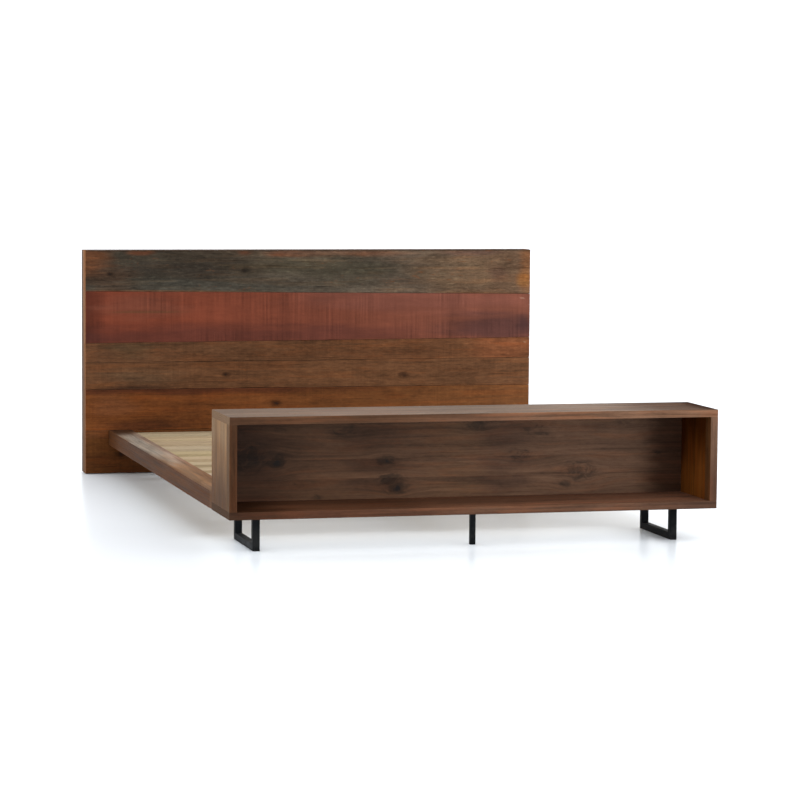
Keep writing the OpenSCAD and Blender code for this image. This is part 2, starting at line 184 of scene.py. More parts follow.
def weld(points, faces):
    """Merges points that lie at the same place."""
    _, first, inverse = np.unique(np.round(points / 1e-7).astype(np.int64), axis=0,
                                  return_index=True, return_inverse=True)
    return points[first], inverse.reshape(-1)[faces]


def unit(vectors):
    """Vectors of length 1, the same way; a vector of no length stays as it is."""
    return vectors / np.maximum(np.linalg.norm(vectors, axis=-1, keepdims=True), 1e-12)


def eased(points, size, radius):
    """A box's surface points moved in onto its rounded edges, and the way out at each."""
    inner = np.clip(points, radius, size - radius)
    way = unit(points - inner)
    return inner + way * radius, way


def shifted(holes, by):
    """The same holes with their centres moved."""
    return [(np.asarray(centre) + by, axis, out, rings) for centre, axis, out, rings in holes]


def drill(points, faces, holes, segments=16):
    """Opens holes in a grid. A hole is its centre on the surface, the axis it runs along, the
    way out (+1 or -1) and its rings of (radius, depth) in mm, from the rim inwards."""
    middles = points[faces].mean(axis=1)
    faces = [tuple(face) for face in faces]
    added, removed, count = [], set(), len(points)
    for centre, axis, out, rings in holes:
        centre = np.asarray(centre, float)
        cell = int(np.argmin(np.linalg.norm(middles - centre, axis=1)))
        removed.add(cell)
        corners = faces[cell]
        u, v = (axis + 1) % 3, (axis + 2) % 3
        away = points[corners[0]] - centre
        first = math.atan2(away[v] * out, away[u])
        angles = first + np.arange(segments) * 2 * math.pi / segments
        loops = []
        for radius, depth in np.multiply(rings, MM):
            ring = np.tile(centre, (segments, 1))
            ring[:, axis] -= out * depth
            ring[:, u] += radius * np.cos(angles)
            ring[:, v] += radius * np.sin(angles) * out
            added.append(ring)
            loops.append(count + np.arange(segments))
            count += segments
        quarter, eighth = segments // 4, segments // 8
        rim = loops[0]
        for k, corner in enumerate(corners):
            for j in range(k * quarter - eighth, k * quarter + eighth):
                faces.append((corner, rim[(j + 1) % segments], rim[j % segments]))
            faces.append((corner, corners[(k + 1) % 4], rim[(k * quarter + eighth) % segments]))
        for upper, lower in zip(loops[:-1], loops[1:]):
            for j in range(segments):
                k = (j + 1) % segments
                faces.append((upper[j], upper[k], lower[k], lower[j]))
        faces.append(tuple(loops[-1]))
    faces = [face for i, face in enumerate(faces) if i not in removed]
    return np.concatenate([points] + added), faces


def tube_faces(n, rings, closed=False):
    """The quads between neighbouring rings of n points, and a face over each open end."""
    faces = []
    for ring in range(rings if closed else rings - 1):
        here, after = ring * n, (ring + 1) % rings * n
        for i in range(n):
            j = (i + 1) % n
            faces.append((here + i, after + i, after + j, here + j))
    if not closed:
        faces += [tuple(range(n)), tuple((rings - 1) * n + i for i in range(n))[::-1]]
    return faces


def sweep(outline, stations, inset):
    """The points and the number of rings of a closed outline of (x, z) swept along Y. The ends
    are rounded over by inset."""
    outline = np.asarray(outline)
    along = np.roll(outline, -1, axis=0) - np.roll(outline, 1, axis=0)
    normal = unit(np.stack([along[:, 1], -along[:, 0]], 1))
    round_over = [(inset * (1 - math.sin(a)), inset * (1 - math.cos(a)))
                  for a in np.radians([0, 45, 90])]
    rings = [(stations[0] + back, shrink) for back, shrink in round_over]
    rings += [(y, 0.0) for y in stations[1:-1]]
    rings += [(stations[-1] - back, shrink) for back, shrink in round_over[::-1]]
    points = []
    for y, shrink in rings:
        ring = outline - normal * shrink
        points.append(np.stack([ring[:, 0], np.full(len(ring), y), ring[:, 1]], 1))
    return np.concatenate(points), len(rings)


def turned(profile, segments=24, phase=0.0):
    """A solid of revolution around Z. profile lists (radius or function of angle, z) in mm, from
    the middle of the top outwards and down to the middle of the bottom."""
    angles = phase + np.arange(segments) * 2 * math.pi / segments
    points = []
    for radius, z in profile:
        r = radius(angles) if callable(radius) else radius
        points.append(np.stack([r * np.cos(angles), r * np.sin(angles),
                                np.full(segments, z)], 1) * MM)
    return np.concatenate(points), tube_faces(segments, len(profile))


def joined(parts):
    """One list of points and one of faces, from several."""
    points, faces, start = [], [], 0
    for part_points, part_faces in parts:
        points.append(part_points)
        faces += [tuple(int(i) + start for i in face) for face in part_faces]
        start += len(part_points)
    return np.concatenate(points), faces


def set_floats(mesh, name, values):
    mesh.attributes.new(name, "FLOAT", "POINT").data.foreach_set(
        "value", np.asarray(values, np.float32))


def set_wood_attributes(piece, local, size, axes, seed, base, wear, cap, knots=(), tint=None,
                        satin=(1, 1)):
    """Stores what the wood materials read. local is each point's place from the board's low
    corner, and axes gives the axis along the grain, the one across the face and the other.
    A knot is its place along and across from 0 to 1, its radius and its strength. satin lists
    how much of its gloss the board keeps at even steps along it."""
    along, across, depth = (local[:, a].copy() for a in axes)
    knot_value = np.zeros(len(local))
    for place_at, side, radius, *strength in knots:
        force = strength[0] if strength else 1.0
        k_along, k_across = place_at * size[axes[0]], side * size[axes[1]]
        d = np.hypot((along - k_along) / KNOT_STRETCH, across - k_across) / (radius * MM)
        bend = 0.85 * force * np.exp(-((d / 2.1) ** 2))
        across = k_across + (across - k_across) * (1 - bend)
        knot_value = np.maximum(knot_value, force * np.exp(-((d / 1.5) ** 2)))
    random = np.random.default_rng(seed)
    shift = random.uniform([3, 0.2, 0.03], [40, 0.8, 0.10])
    pith = shift * [1, -size[axes[1]], 1]
    grain = np.stack([along, across, depth], 1) + pith
    mesh = piece.data
    mesh.attributes.new("grain", "FLOAT_VECTOR", "POINT").data.foreach_set(
        "vector", grain.astype(np.float32).ravel())
    colour = np.ones((len(local), 4))
    colour[:, :3] = base
    if tint is not None:
        colour[:, :3] = tint(*(local[:, a] for a in axes), base)
    drift = 1 + 0.10 * noise(grain, (1.3, 9, 9), seed + 5, 2)
    colour[:, :3] *= drift[:, None]
    mesh.attributes.new("tint", "FLOAT_COLOR", "POINT").data.foreach_set(
        "color", colour.astype(np.float32).ravel())
    set_floats(mesh, "wear", wear)
    set_floats(mesh, "knot", knot_value)
    set_floats(mesh, "cap", cap)
    s = local[:, axes[0]] / size[axes[0]]
    set_floats(mesh, "satin", np.interp(s, np.linspace(0, 1, len(satin)), satin))


def board(name, box, axes, base, material, seed, radius=1.6, step=(60, 24), knots=(),
          tint=None, rough=0.0, chips=0.0, slant=None, holes=(), satin=(1, 1)):
    """A board with rounded, unevenly worn edges. step is how far apart its grid lines are along
    and across the grain, rough is how deep the weathering goes, chips how much wider the edge's
    rounding gets where it is chipped, and holes are given in the same frame as the box."""
    low, high = np.array(box[0]), np.array(box[1])
    size = high - low
    radius, rough = radius * MM, rough * MM
    steps = [0, 0, 0]
    steps[axes[0]] = step[0] * MM
    steps[axes[1]] = steps[axes[2]] = step[1] * MM
    most = min(radius * (1 + chips), 0.45 * size.min())
    holes = shifted(holes, -low)
    points, faces = box_grid(size, most, steps, holes)
    edge = np.sort(np.minimum(points, size - points), axis=1)[:, 1]
    waver = noise(points, (9, 9, 9), seed, 2)
    nick = smooth(0.35, 0.8, noise(points, (26, 26, 26), seed + 1))
    local_radius = np.clip(radius * (0.8 + 0.35 * waver) + (most - radius) * nick,
                           0.3 * radius, most)
    _, normal = eased(points, size, most)
    moved, _ = eased(points, size, local_radius[:, None])
    if rough:
        stretch = [90.0, 90.0, 90.0]
        stretch[axes[0]] = 5.0
        ridges = noise(points, stretch, seed + 2, 2)
        swell = noise(points, (3.5, 3.5, 3.5), seed + 3, 2)
        sink = rough * (0.5 + 0.3 * ridges + 0.5 * swell)
        moved -= normal * np.clip(sink, 0, None)[:, None]
    if slant is not None:
        moved[:, 2] = slant(moved[:, 0] / size[0], moved[:, 2] / size[2])
        moved[:, :2] += low[:2]
    else:
        moved += low
    wear = np.exp(-edge / (3.5 * MM)) * np.clip(0.75 + 0.6 * waver, 0, 1)
    cap = smooth(0.5, 0.9, np.abs(normal[:, axes[0]]))
    if holes:
        flat = len(points)
        moved, _ = drill(moved, faces, shifted(holes, low))
        points, faces = drill(points, faces, holes)
        wear = np.append(wear, np.full(len(points) - flat, 0.35))
        cap = np.append(cap, np.full(len(points) - flat, 0.4))
    piece = mesh_object(name, moved, faces)
    set_wood_attributes(piece, points, size, axes, seed, base, wear, cap, knots, tint, satin)
    piece.data.materials.append(material)
    return weighted_normals(piece)


def rounded_outline(corners, radius, steps=4):
    """A closed outline with each corner rounded, given its corners in order."""
    corners = np.array(corners, float)
    outline = []
    for i, corner in enumerate(corners):
        before = unit(corners[i - 1] - corner)
        after = unit(corners[(i + 1) % len(corners)] - corner)
        centre = corner + (before + after) * radius
        start, end = corner + before * radius - centre, corner + after * radius - centre
        for t in np.linspace(0, 1, steps + 1):
            arm = start * math.cos(t * math.pi / 2) + end * math.sin(t * math.pi / 2)
            outline.append(centre + arm)
    return np.array(outline)


def place(piece, node, body=ROOT):
    """Puts a finished piece in the place of a CAD node: hides the node and attaches the piece to
    the body it rides on.
    """
    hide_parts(node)
    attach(piece, body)
    return piece


def make_board(node, axes, base, material, seed, screws=None, **shape):
    """A board in the place of a CAD node. screws names the screws that go into its faces."""
    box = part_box(node)
    if screws:
        shape["holes"] = screw_holes(screws, box)
    piece = board(node + "_board", box, axes, shown(base), material, seed, **shape)
    return place(piece, node)


# ---------------------------------------------------------------- material graphs

class Graph:
    """A material's node tree, with short ways to add to it."""

    def __init__(self, name):
        self.material = bpy.data.materials.new(name)
        self.material.use_nodes = True
        self.tree = self.material.node_tree
        self.tree.nodes.clear()
        self.shader = self.add("ShaderNodeBsdfPrincipled")
        self.add("ShaderNodeOutputMaterial", {0: self.shader.outputs[0]})

    def add(self, kind, inputs=(), **settings):
        node = self.tree.nodes.new(kind)
        for key, value in settings.items():
            setattr(node, key, value)
        for socket, value in dict(inputs).items():
            self.feed(node.inputs[socket], value)
        return node

    def feed(self, socket, value):
        if isinstance(value, bpy.types.NodeSocket):
            self.tree.links.new(value, socket)
        elif hasattr(value, "__len__") and len(value) == 3 and socket.type == "RGBA":
            socket.default_value = (*value, 1)
        else:
            socket.default_value = value

    def set(self, name, value):
        self.feed(self.shader.inputs[name], value)

    def attribute(self, name, output="Fac"):
        return self.add("ShaderNodeAttribute", attribute_name=name).outputs[output]

    def vector(self, operation, a, b):
        sockets = {0: a, "Scale" if operation == "SCALE" else 1: b}
        return self.add("ShaderNodeVectorMath", sockets, operation=operation).outputs[0]

    def math(self, operation, a, b=0.0, clamp=False):
        return self.add("ShaderNodeMath", {0: a, 1: b}, operation=operation,
                        use_clamp=clamp).outputs[0]

    def plus(self, a, b):
        return self.math("ADD", a, b)

    def times(self, a, b):
        return self.math("MULTIPLY", a, b)

    def tinted(self, colour, amounts):
        """A colour with its red, green and blue each multiplied."""
        return self.vector("MULTIPLY", colour, amounts)

    def noise(self, vector, scale, detail=3.0, roughness=0.55, distortion=0.0):
        return self.add("ShaderNodeTexNoise", {
            "Vector": self.vector("MULTIPLY", vector, scale), "Scale": 1, "Detail": detail,
            "Roughness": roughness, "Distortion": distortion}).outputs["Fac"]

    def shaded(self, factor, colour, amounts):
        """A colour that is tinted where a factor is high."""
        return self.mix(factor, colour, self.tinted(colour, amounts))

    def rings(self, vector, spacing):
        """Growth rings around a line along the grain."""
        return self.add("ShaderNodeTexWave", {
            "Vector": self.vector("MULTIPLY", vector, (0.07, 1, 1)), "Distortion": 9.0,
            "Scale": 2 * math.pi / (20 * spacing), "Detail": 3, "Detail Scale": 0.35},
            wave_type="RINGS", rings_direction="X", wave_profile="SAW").outputs["Fac"]

    def range(self, value, low, high, to_low=0.0, to_high=1.0, soft=True):
        return self.add("ShaderNodeMapRange", enumerate((value, low, high, to_low, to_high)),
                        interpolation_type="SMOOTHSTEP" if soft else "LINEAR").outputs[0]

    def mix(self, factor, a, b):
        return self.add("ShaderNodeMix", {0: factor, 6: a, 7: b}, data_type="RGBA").outputs[2]

    def ramp(self, factor, *stops):
        node = self.add("ShaderNodeValToRGB", {0: factor})
        for element, (at, colour) in zip(node.color_ramp.elements, stops):
            element.position = at
            element.color = (*colour, 1)
        return node.outputs[0]

    def bump(self, height, distance, strength):
        return self.add("ShaderNodeBump", {"Strength": strength, "Distance": distance,
                                           "Height": height}).outputs[0]


def wood(name, ring=8, figure=0.2, fibre=0.4, bands=0.5, clouds=0.3, pores=0.4,
         mottle=0.0, fleck=0.0, specks=0.0, cracks=0.0, saw=0.0, second=None,
         knot_core=(0.010, 0.008, 0.007), knot_halo=(0.36, 0.33, 0.32), knot_ragged=0.5,
         knot_edge=(0.72, 1.15), end_tone=(0.9, 0.82, 0.74), rub=0.2,
         rub_colour=(0.06, 0.04, 0.026), roughness=(0.36, 0.5), specular=0.06, bump=0.5):
    """Wood whose broad colours come from the board's tint and whose grain follows the board.
    figure, fibre, bands, clouds and mottle say how much each layer lightens and darkens it."""
    g = Graph(name)
    grain, tint = g.attribute("grain", "Vector"), g.attribute("tint", "Color")
    fine = g.noise(grain, (6, 420, 420), 5, 0.62)
    middle = g.noise(grain, (2.6, 95, 95), 4, 0.6, 0.3)
    broad = g.noise(grain, (0.9, 26, 26), 4, 0.55, 0.5)
    cloud = g.noise(grain, (3.0, 11, 11), 4, 0.55, 0.3)
    rings = g.rings(grain, ring * MM)

    def swing(value, amount):
        return g.range(value, 0.30, 0.70, -amount / 2, amount / 2, soft=False)

    shade = g.plus(1.0, g.range(rings, 0, 1, -figure / 2, figure / 2, soft=False))
    layers = [(fine, fibre), (middle, 1.2 * bands), (broad, bands), (cloud, clouds)]
    if mottle:
        layers += [(g.noise(grain, (40, 130, 130), 4, 0.65, 0.3), 1.3 * mottle),
                   (g.noise(grain, (14, 42, 42), 4, 0.6, 0.4), mottle)]
    for layer, amount in layers:
        shade = g.plus(shade, swing(layer, amount))
    shade = g.math("MAXIMUM", shade, 0.2)
    colour = g.vector("SCALE", tint, shade)
    if second is not None:
        other, amount = second
        spread = g.noise(grain, (4.0, 30, 30), 5, 0.65, 0.4)
        where = g.range(g.plus(spread, swing(middle, 0.2)), 0.48, 0.64, 0.0, amount)
        colour = g.mix(where, colour, g.vector("SCALE", g.tinted(tint, other), shade))
    pore = g.range(g.noise(grain, (55, 1300, 1300), 2, 0.5), 0.58, 0.70)
    colour = g.shaded(g.times(pore, pores), colour, (0.36, 0.30, 0.27))
    height = g.math("SUBTRACT", g.times(fine, 0.55), g.times(pore, 0.5))
    if fleck:
        light = g.noise(grain, (26, 105, 105), 5, 0.72, 0.3)
        for low, high, by in ((0.53, 0.68, (1.90, 2.05, 2.00)), (0.47, 0.34, (0.50, 0.47, 0.45))):
            colour = g.shaded(g.range(light, low, high, 0, fleck), colour, by)
        height = g.plus(height, g.times(light, 0.9))
    if specks:
        spots = g.range(g.noise(grain, (20, 75, 75), 5, 0.72, 0.8), 0.56, 0.66)
        where = g.range(g.noise(grain, (3.2, 13, 13), 3, 0.6, 0.5), 0.50, 0.64, 0, specks)
        colour = g.mix(g.times(spots, where), colour, (0.17, 0.052, 0.014))
    if cracks:
        crack = g.range(g.noise(grain, (3.4, 115, 115), 4, 0.65, 0.3), 0.64, 0.69)
        colour = g.shaded(g.times(crack, cracks), colour, (0.22, 0.18, 0.16))
        height = g.math("SUBTRACT", height, g.times(crack, 2.0))
    if saw:
        marks = g.noise(grain, (88, 1.8, 1.8), 3, 0.6, 0.05)
        swaths = g.noise(grain, (12, 1.6, 1.6), 4, 0.65, 0.1)
        deep = g.range(g.noise(grain, (3.5, 6, 6), 3, 0.6), 0.42, 0.60, 0.2, 1.0)
        lines = g.plus(1.0, g.times(swing(marks, 2.6 * saw), deep))
        colour = g.vector("SCALE", colour, g.plus(lines, swing(swaths, 1.6 * saw)))
        height = g.plus(height, g.times(marks, 1.2))
    ragged = g.plus(swing(g.noise(grain, (22, 60, 60), 5, 0.66, 0.8), knot_ragged), 1.0)
    knot = g.times(g.attribute("knot"), g.times(ragged, ragged))
    colour = g.shaded(g.times(g.range(knot, 0.06, 0.85), 0.85), colour, knot_halo)
    colour = g.mix(g.times(g.range(knot, *knot_edge), 0.8), colour, knot_core)
    edge = g.times(g.attribute("wear"), g.range(middle, 0.35, 0.65, 0.5, 1.25))
    colour = g.mix(g.range(edge, 0.2, 0.9, 0, rub), colour, g.vector("ADD", colour, rub_colour))
    cap = g.attribute("cap")
    speckle = g.range(g.noise(grain, (700, 700, 700), 2, 0.5), 0.45, 0.7, 0.0, 0.4)
    ends = g.range(rings, 0, 1, 0.62, 1.16, soft=False)
    end_wood = g.tinted(g.vector("SCALE", tint, ends), end_tone)
    end_wood = g.mix(speckle, end_wood, (0.05, 0.034, 0.022))
    g.set("Base Color", g.mix(cap, colour, end_wood))
    rough = g.range(g.plus(middle, g.times(pore, 0.25)), 0.3, 0.8, *roughness)
    g.set("Roughness", g.math("ADD", rough, g.times(cap, 0.15), clamp=True))
    g.set("Specular IOR Level", g.times(g.attribute("satin"), specular))
    g.set("Normal", g.bump(height, 0.5 * MM, bump))
    return g.material


def raw_wood(name, light, dark):
    """Planed wood for CAD solids: its grain runs along the object's Z."""
    g = Graph(name)
    place_at = g.add("ShaderNodeTexCoord").outputs["Object"]
    grain = g.noise(place_at, (420, 420, 9), 4, 0.6)
    g.set("Base Color", g.ramp(grain, (0.3, dark), (0.7, light)))
    g.set("Roughness", g.range(grain, 0.3, 0.7, 0.5, 0.65))
    g.set("Normal", g.bump(grain, 0.3 * MM, 0.5))
    return g.material


def coating(name, colour, metal, roughness, peel, worn=None, grit=900, specular=0.5):
    """A painted, plated or moulded surface: mottled, with a fine texture and rubbed edges."""
    g = Graph(name)
    place_at = g.add("ShaderNodeTexCoord").outputs["Object"]
    mottle = g.noise(place_at, (14, 14, 14), 5, 0.6)
    fine = g.noise(place_at, (grit, grit, grit), 3, 0.6)
    base = np.asarray(colour, float)
    shade = g.ramp(mottle, (0.3, base * 0.78), (0.7, base * 1.2))
    if worn is not None:
        edge = g.times(g.attribute("wear"), g.range(mottle, 0.4, 0.6, 0.3, 1.0))
        chips = g.times(edge, g.range(fine, 0.3, 0.7, 0.7, 1.2))
        shade = g.mix(g.range(chips, 0.45, 0.8, 0.0, 0.7), shade, worn)
    g.set("Base Color", shade)
    g.set("Metallic", metal)
    g.set("Specular IOR Level", specular)
    g.set("Roughness", g.range(g.plus(mottle, g.times(fine, 0.5)), 0.5, 1.0, *roughness))
    g.set("Normal", g.bump(fine, peel, 0.6))
    return g.material


# ---------------------------------------------------------------- camera, floor and light

def make_camera():
    """The camera that was fitted to the frame's edges in the photograph."""
    yaw, pitch, roll = -0.2558, 0.0862, 0.0075
    place_at = (-2.7955, -10.943, 1.3737)
    forward = Vector((-math.sin(yaw) * math.cos(pitch), math.cos(yaw) * math.cos(pitch),
                      -math.sin(pitch)))
    right = Vector((math.cos(yaw), math.sin(yaw), 0))
    up = right.cross(forward)
    tilted = math.cos(roll) * right + math.sin(roll) * up
    up = -math.sin(roll) * right + math.cos(roll) * up
    data = bpy.data.cameras.new("camera")
    data.sensor_width = 36
    data.lens = 134.4
    data.clip_end = 100
    camera = linked("camera", data)
    rotation = Matrix((tilted, up, -forward)).transposed()
    camera.matrix_world = Matrix.Translation(place_at) @ rotation.to_4x4()
    bpy.context.scene.camera = camera


def area_light(name, place_at, aim, size, power, colour=(1, 1, 1)):
    data = bpy.data.lights.new(name, "AREA")
    data.shape = "RECTANGLE"
    data.size, data.size_y = size
    data.energy = power
    data.color = colour
    light = linked(name, data)
    light.location = place_at
    light.rotation_euler = (Vector(aim) - Vector(place_at)).to_track_quat("-Z", "Y").to_euler()
    light.visible_camera = False


def make_dome():
    """A soft white surround that is dimmer towards the left."""
    world = bpy.data.worlds.new("studio")
    world.use_nodes = True
    nodes, links = world.node_tree.nodes, world.node_tree.links
    backdrop = nodes["Background"]
    backdrop.inputs[0].default_value = (0.965, 0.985, 1, 1)
    way = nodes.new("ShaderNodeTexCoord").outputs["Generated"]
    split = nodes.new("ShaderNodeSeparateXYZ")
    links.new(way, split.inputs[0])
    level = nodes.new("ShaderNodeMapRange")
    level.interpolation_type = "SMOOTHSTEP"
    links.new(split.outputs["X"], level.inputs[0])
    for socket, number in zip(level.inputs[1:5], (-1.0, 0.05, 0.95, 1.52)):
        socket.default_value = number
    links.new(level.outputs[0], backdrop.inputs[1])
    bpy.context.scene.world = world


def make_studio():
    floor = mesh_object("floor", [(-40, -40, 0), (40, -40, 0), (40, 40, 0), (-40, 40, 0)],
                        [(0, 1, 2, 3)], False)
    g = Graph("studio floor")
    paper = g.noise(g.add("ShaderNodeTexCoord").outputs["Object"], (3, 3, 3), 4)
    g.set("Base Color", g.ramp(paper, (0.3, (0.882, 0.910, 0.944)), (0.7, (0.892, 0.920, 0.954))))
    g.set("Roughness", 0.26)
    g.set("Specular IOR Level", 0.10)
    floor.data.materials.append(g.material)
    make_dome()
    area_light("key", (3.6, -5.4, 2.3), (0.5, -0.6, 0.3), (2.6, 2.6), 70)
    area_light("front", (-0.2, -4.8, 3.8), (-0.2, -3.0, 0.0), (4.0, 2.0), 50, (0.91, 0.965, 1.0))
    area_light("low fill", (-0.11, -1.04, 0.112), (-0.11, -1.04, 0.0), (1.52, 0.48), 2.4,
               (0.93, 0.97, 1.0))
    bpy.context.scene.view_settings.view_transform = "Standard"


make_camera()
make_studio()


# ---------------------------------------------------------------- places of the fasteners

BOLT_R = 4
BOLT_RECESS = [(11, 0), (11, 9.5), (BOLT_R, 10)]
BOLT_HEAD_R, BOLT_HEAD_H = 10, 4
BARREL_R, BARREL_L = 6, 20
BARREL_FROM_TIP = 12 * MM
COUNTERSINK = [(4.75, 0), (4.75, 0.3)]
SCREW_HOLE = COUNTERSINK + [(2.5, 3.3), (2.5, 5)]
PLATE_T = 5 * MM
PLATE_HOLE = COUNTERSINK + [(2.5, 3.3), (2.5, 4.4)]
THIN_PLATE_HOLE = COUNTERSINK + [(3.2, 2.4)]
SCREW_REACH = 1.5 * MM
BEAD_STEP = 1 * MM


def solids_of(node):
    """The points of each separate solid in a CAD node."""
    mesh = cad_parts[node].data
    points = np.array([v.co for v in mesh.vertices])
    _, first, inverse = np.unique(np.round(points, 6), axis=0, return_index=True,
                                  return_inverse=True)
    inverse = inverse.reshape(-1)
    edges = inverse[np.array([e.vertices for e in mesh.edges])]
    label = np.arange(len(first))
    while True:
        low = np.minimum(label[edges[:, 0]], label[edges[:, 1]])
        new = label.copy()
        np.minimum.at(new, edges[:, 0], low)
        np.minimum.at(new, edges[:, 1], low)
        new = new[new]
        if (new == label).all():
            break
        label = new
    return [points[first][label == one] for one in np.unique(label)]


def screw_places(node):
    """Where each screw's head lies, the axis it runs along, the way out and its length."""
    found = []
    for points in solids_of(node):
        low, high = points.min(axis=0), points.max(axis=0)
        axis = int(np.argmax(high - low))
        middle = (low + high) / 2
        across = [a for a in range(3) if a != axis]
        radius = np.linalg.norm((points - middle)[:, across], axis=1)
        near_high = radius[points[:, axis] > high[axis] - 0.2 * MM].max()
        near_low = radius[points[:, axis] < low[axis] + 0.2 * MM].max()
        out = 1 if near_high > near_low else -1
        head = middle.copy()
        head[axis] = high[axis] if out > 0 else low[axis]
        found.append((head, axis, out, high[axis] - low[axis]))
    return found


def boxes_of(node):
    """The low and high corners of each separate solid in a CAD node."""
    return [(Vector(points.min(axis=0)), Vector(points.max(axis=0)))
            for points in solids_of(node)]


def bolt_places():
    """The tip's place of each rail bolt."""
    return [Vector(((low.x + high.x) / 2, low.y, (low.z + high.z) / 2))
            for low, high in boxes_of("rail_bolts")]


def screw_holes(node, box, profile=SCREW_HOLE):
    """The holes that a node's screws need in the faces of a box."""
    low, high = np.array(box[0]), np.array(box[1])
    holes = []
    for head, axis, out, _ in screw_places(node):
        centre = head.copy()
        centre[axis] = high[axis] if out > 0 else low[axis]
        inside = all(low[a] < head[a] < high[a] for a in range(3) if a != axis)
        if inside and abs(head[axis] - centre[axis]) < SCREW_REACH:
            holes.append((centre, axis, out, profile))
    return holes


# ---------------------------------------------------------------- headboard

EDGE = (0.8 * MM, 0.2 * MM)  # how far an edge's own colour fades out, and how far it is full


def between(colours, s):
    """The colour at each place from 0 to 1 along a row of colours at even steps."""
    at = np.linspace(0, 1, len(colours))
    return np.stack([np.interp(s, at, [c[i] for c in colours]) for i in range(3)], 1)


def covered(colour, other, mask):
    mask = mask[:, None]
    return colour * (1 - mask) + np.asarray(other) * mask


def stains_and_painted_light(*patches, fade=None, front=(), rim=None, ends=(), faces=None):
    """A tint with soft-edged patches of other colours: some boards use them for their own stains,
    others for painted light and shade. Each patch is a colour, where it lies along and across the
    board, how long and wide it is, and how strongly it covers. fade is the colour at the far end,
    front the colours along the front edge, rim the colour of the edge across from it, ends the
    colours of the two sawn ends, and faces what the low face and the rest of the board are
    multiplied by."""
    def tint(along, across, depth, base):
        length, width = along.max(), across.max()
        s, t = along / length, across / width
        colour = np.tile(np.asarray(base, float), (len(along), 1))
        if fade is not None:
            colour = covered(colour, shown(fade), smooth(0.0, 1.0, s))
        at = np.stack([along, across, np.zeros(len(along))], 1)
        for number, (patch, place_s, place_t, long, wide, strength) in enumerate(patches):
            ragged = noise(at, (5, 42, 1), 40 + number, 3)
            d = np.hypot((s - place_s) / long, (t - place_t) / wide) + 0.42 * ragged
            colour = covered(colour, shown(patch), strength * smooth(1.25, 0.35, d))
        if front:
            uneven = 1 + 0.14 * noise(at, (4, 1, 1), 60, 3)[:, None]
            row = between([shown(c) for c in front], s) * uneven
            colour = covered(colour, row, smooth(*EDGE, across))
        if rim is not None:
            mask = 0.85 * smooth(width - 6 * MM, width - 2 * MM, across)
            colour = covered(colour, shown(rim), mask)
        for end, reach in zip(ends, (along, length - along)):
            colour = covered(colour, shown(end), smooth(*EDGE, reach))
        if faces is not None:
            high = smooth(0.3 * MM, 1.0 * MM, depth)
            colour = colour * covered(np.asarray(faces[0]), faces[1], high)
        return colour
    return tint


PLANKS, SLATS, BACK_BOARDS = 6, 11, 3
PINE = tone(196, 173, 140)


def end_heights(node):
    """The low and the high edge of a plank at its left end and at its right end."""
    co = np.array([v.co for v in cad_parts[node].data.vertices])
    found = []
    for x in (co[:, 0].min(), co[:, 0].max()):
        z = co[np.abs(co[:, 0] - x) < 1e-5][:, 2]
        found.append((z.min(), z.max()))
    return found


def make_plank(number, base, material, seed, tint, setback, gap, rough, knots=()):
    """A face plank between its slanting edges. setback, gap and rough are in mm."""
    node = f"headboard_plank_{number}"
    low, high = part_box(node)
    (left_low, left_high), (right_low, right_high) = end_heights(node)
    top_gap = 0 if number == 1 else gap * MM
    bottom_gap = 0 if number == PLANKS else gap * MM

    def slant(s, t):
        bottom = left_low + (right_low - left_low) * s + bottom_gap
        top = left_high + (right_high - left_high) * s - top_gap
        return bottom + (top - bottom) * t

    box = (Vector((low.x, low.y + setback * MM, low.z)), high)
    place(board(node + "_weathered", box, GRAIN_X, shown(base), material, seed, radius=1.1,
                step=(9, 6), knots=knots, tint=tint, rough=rough, chips=2.2, slant=slant), node)


TAN = tone(190, 132, 88)


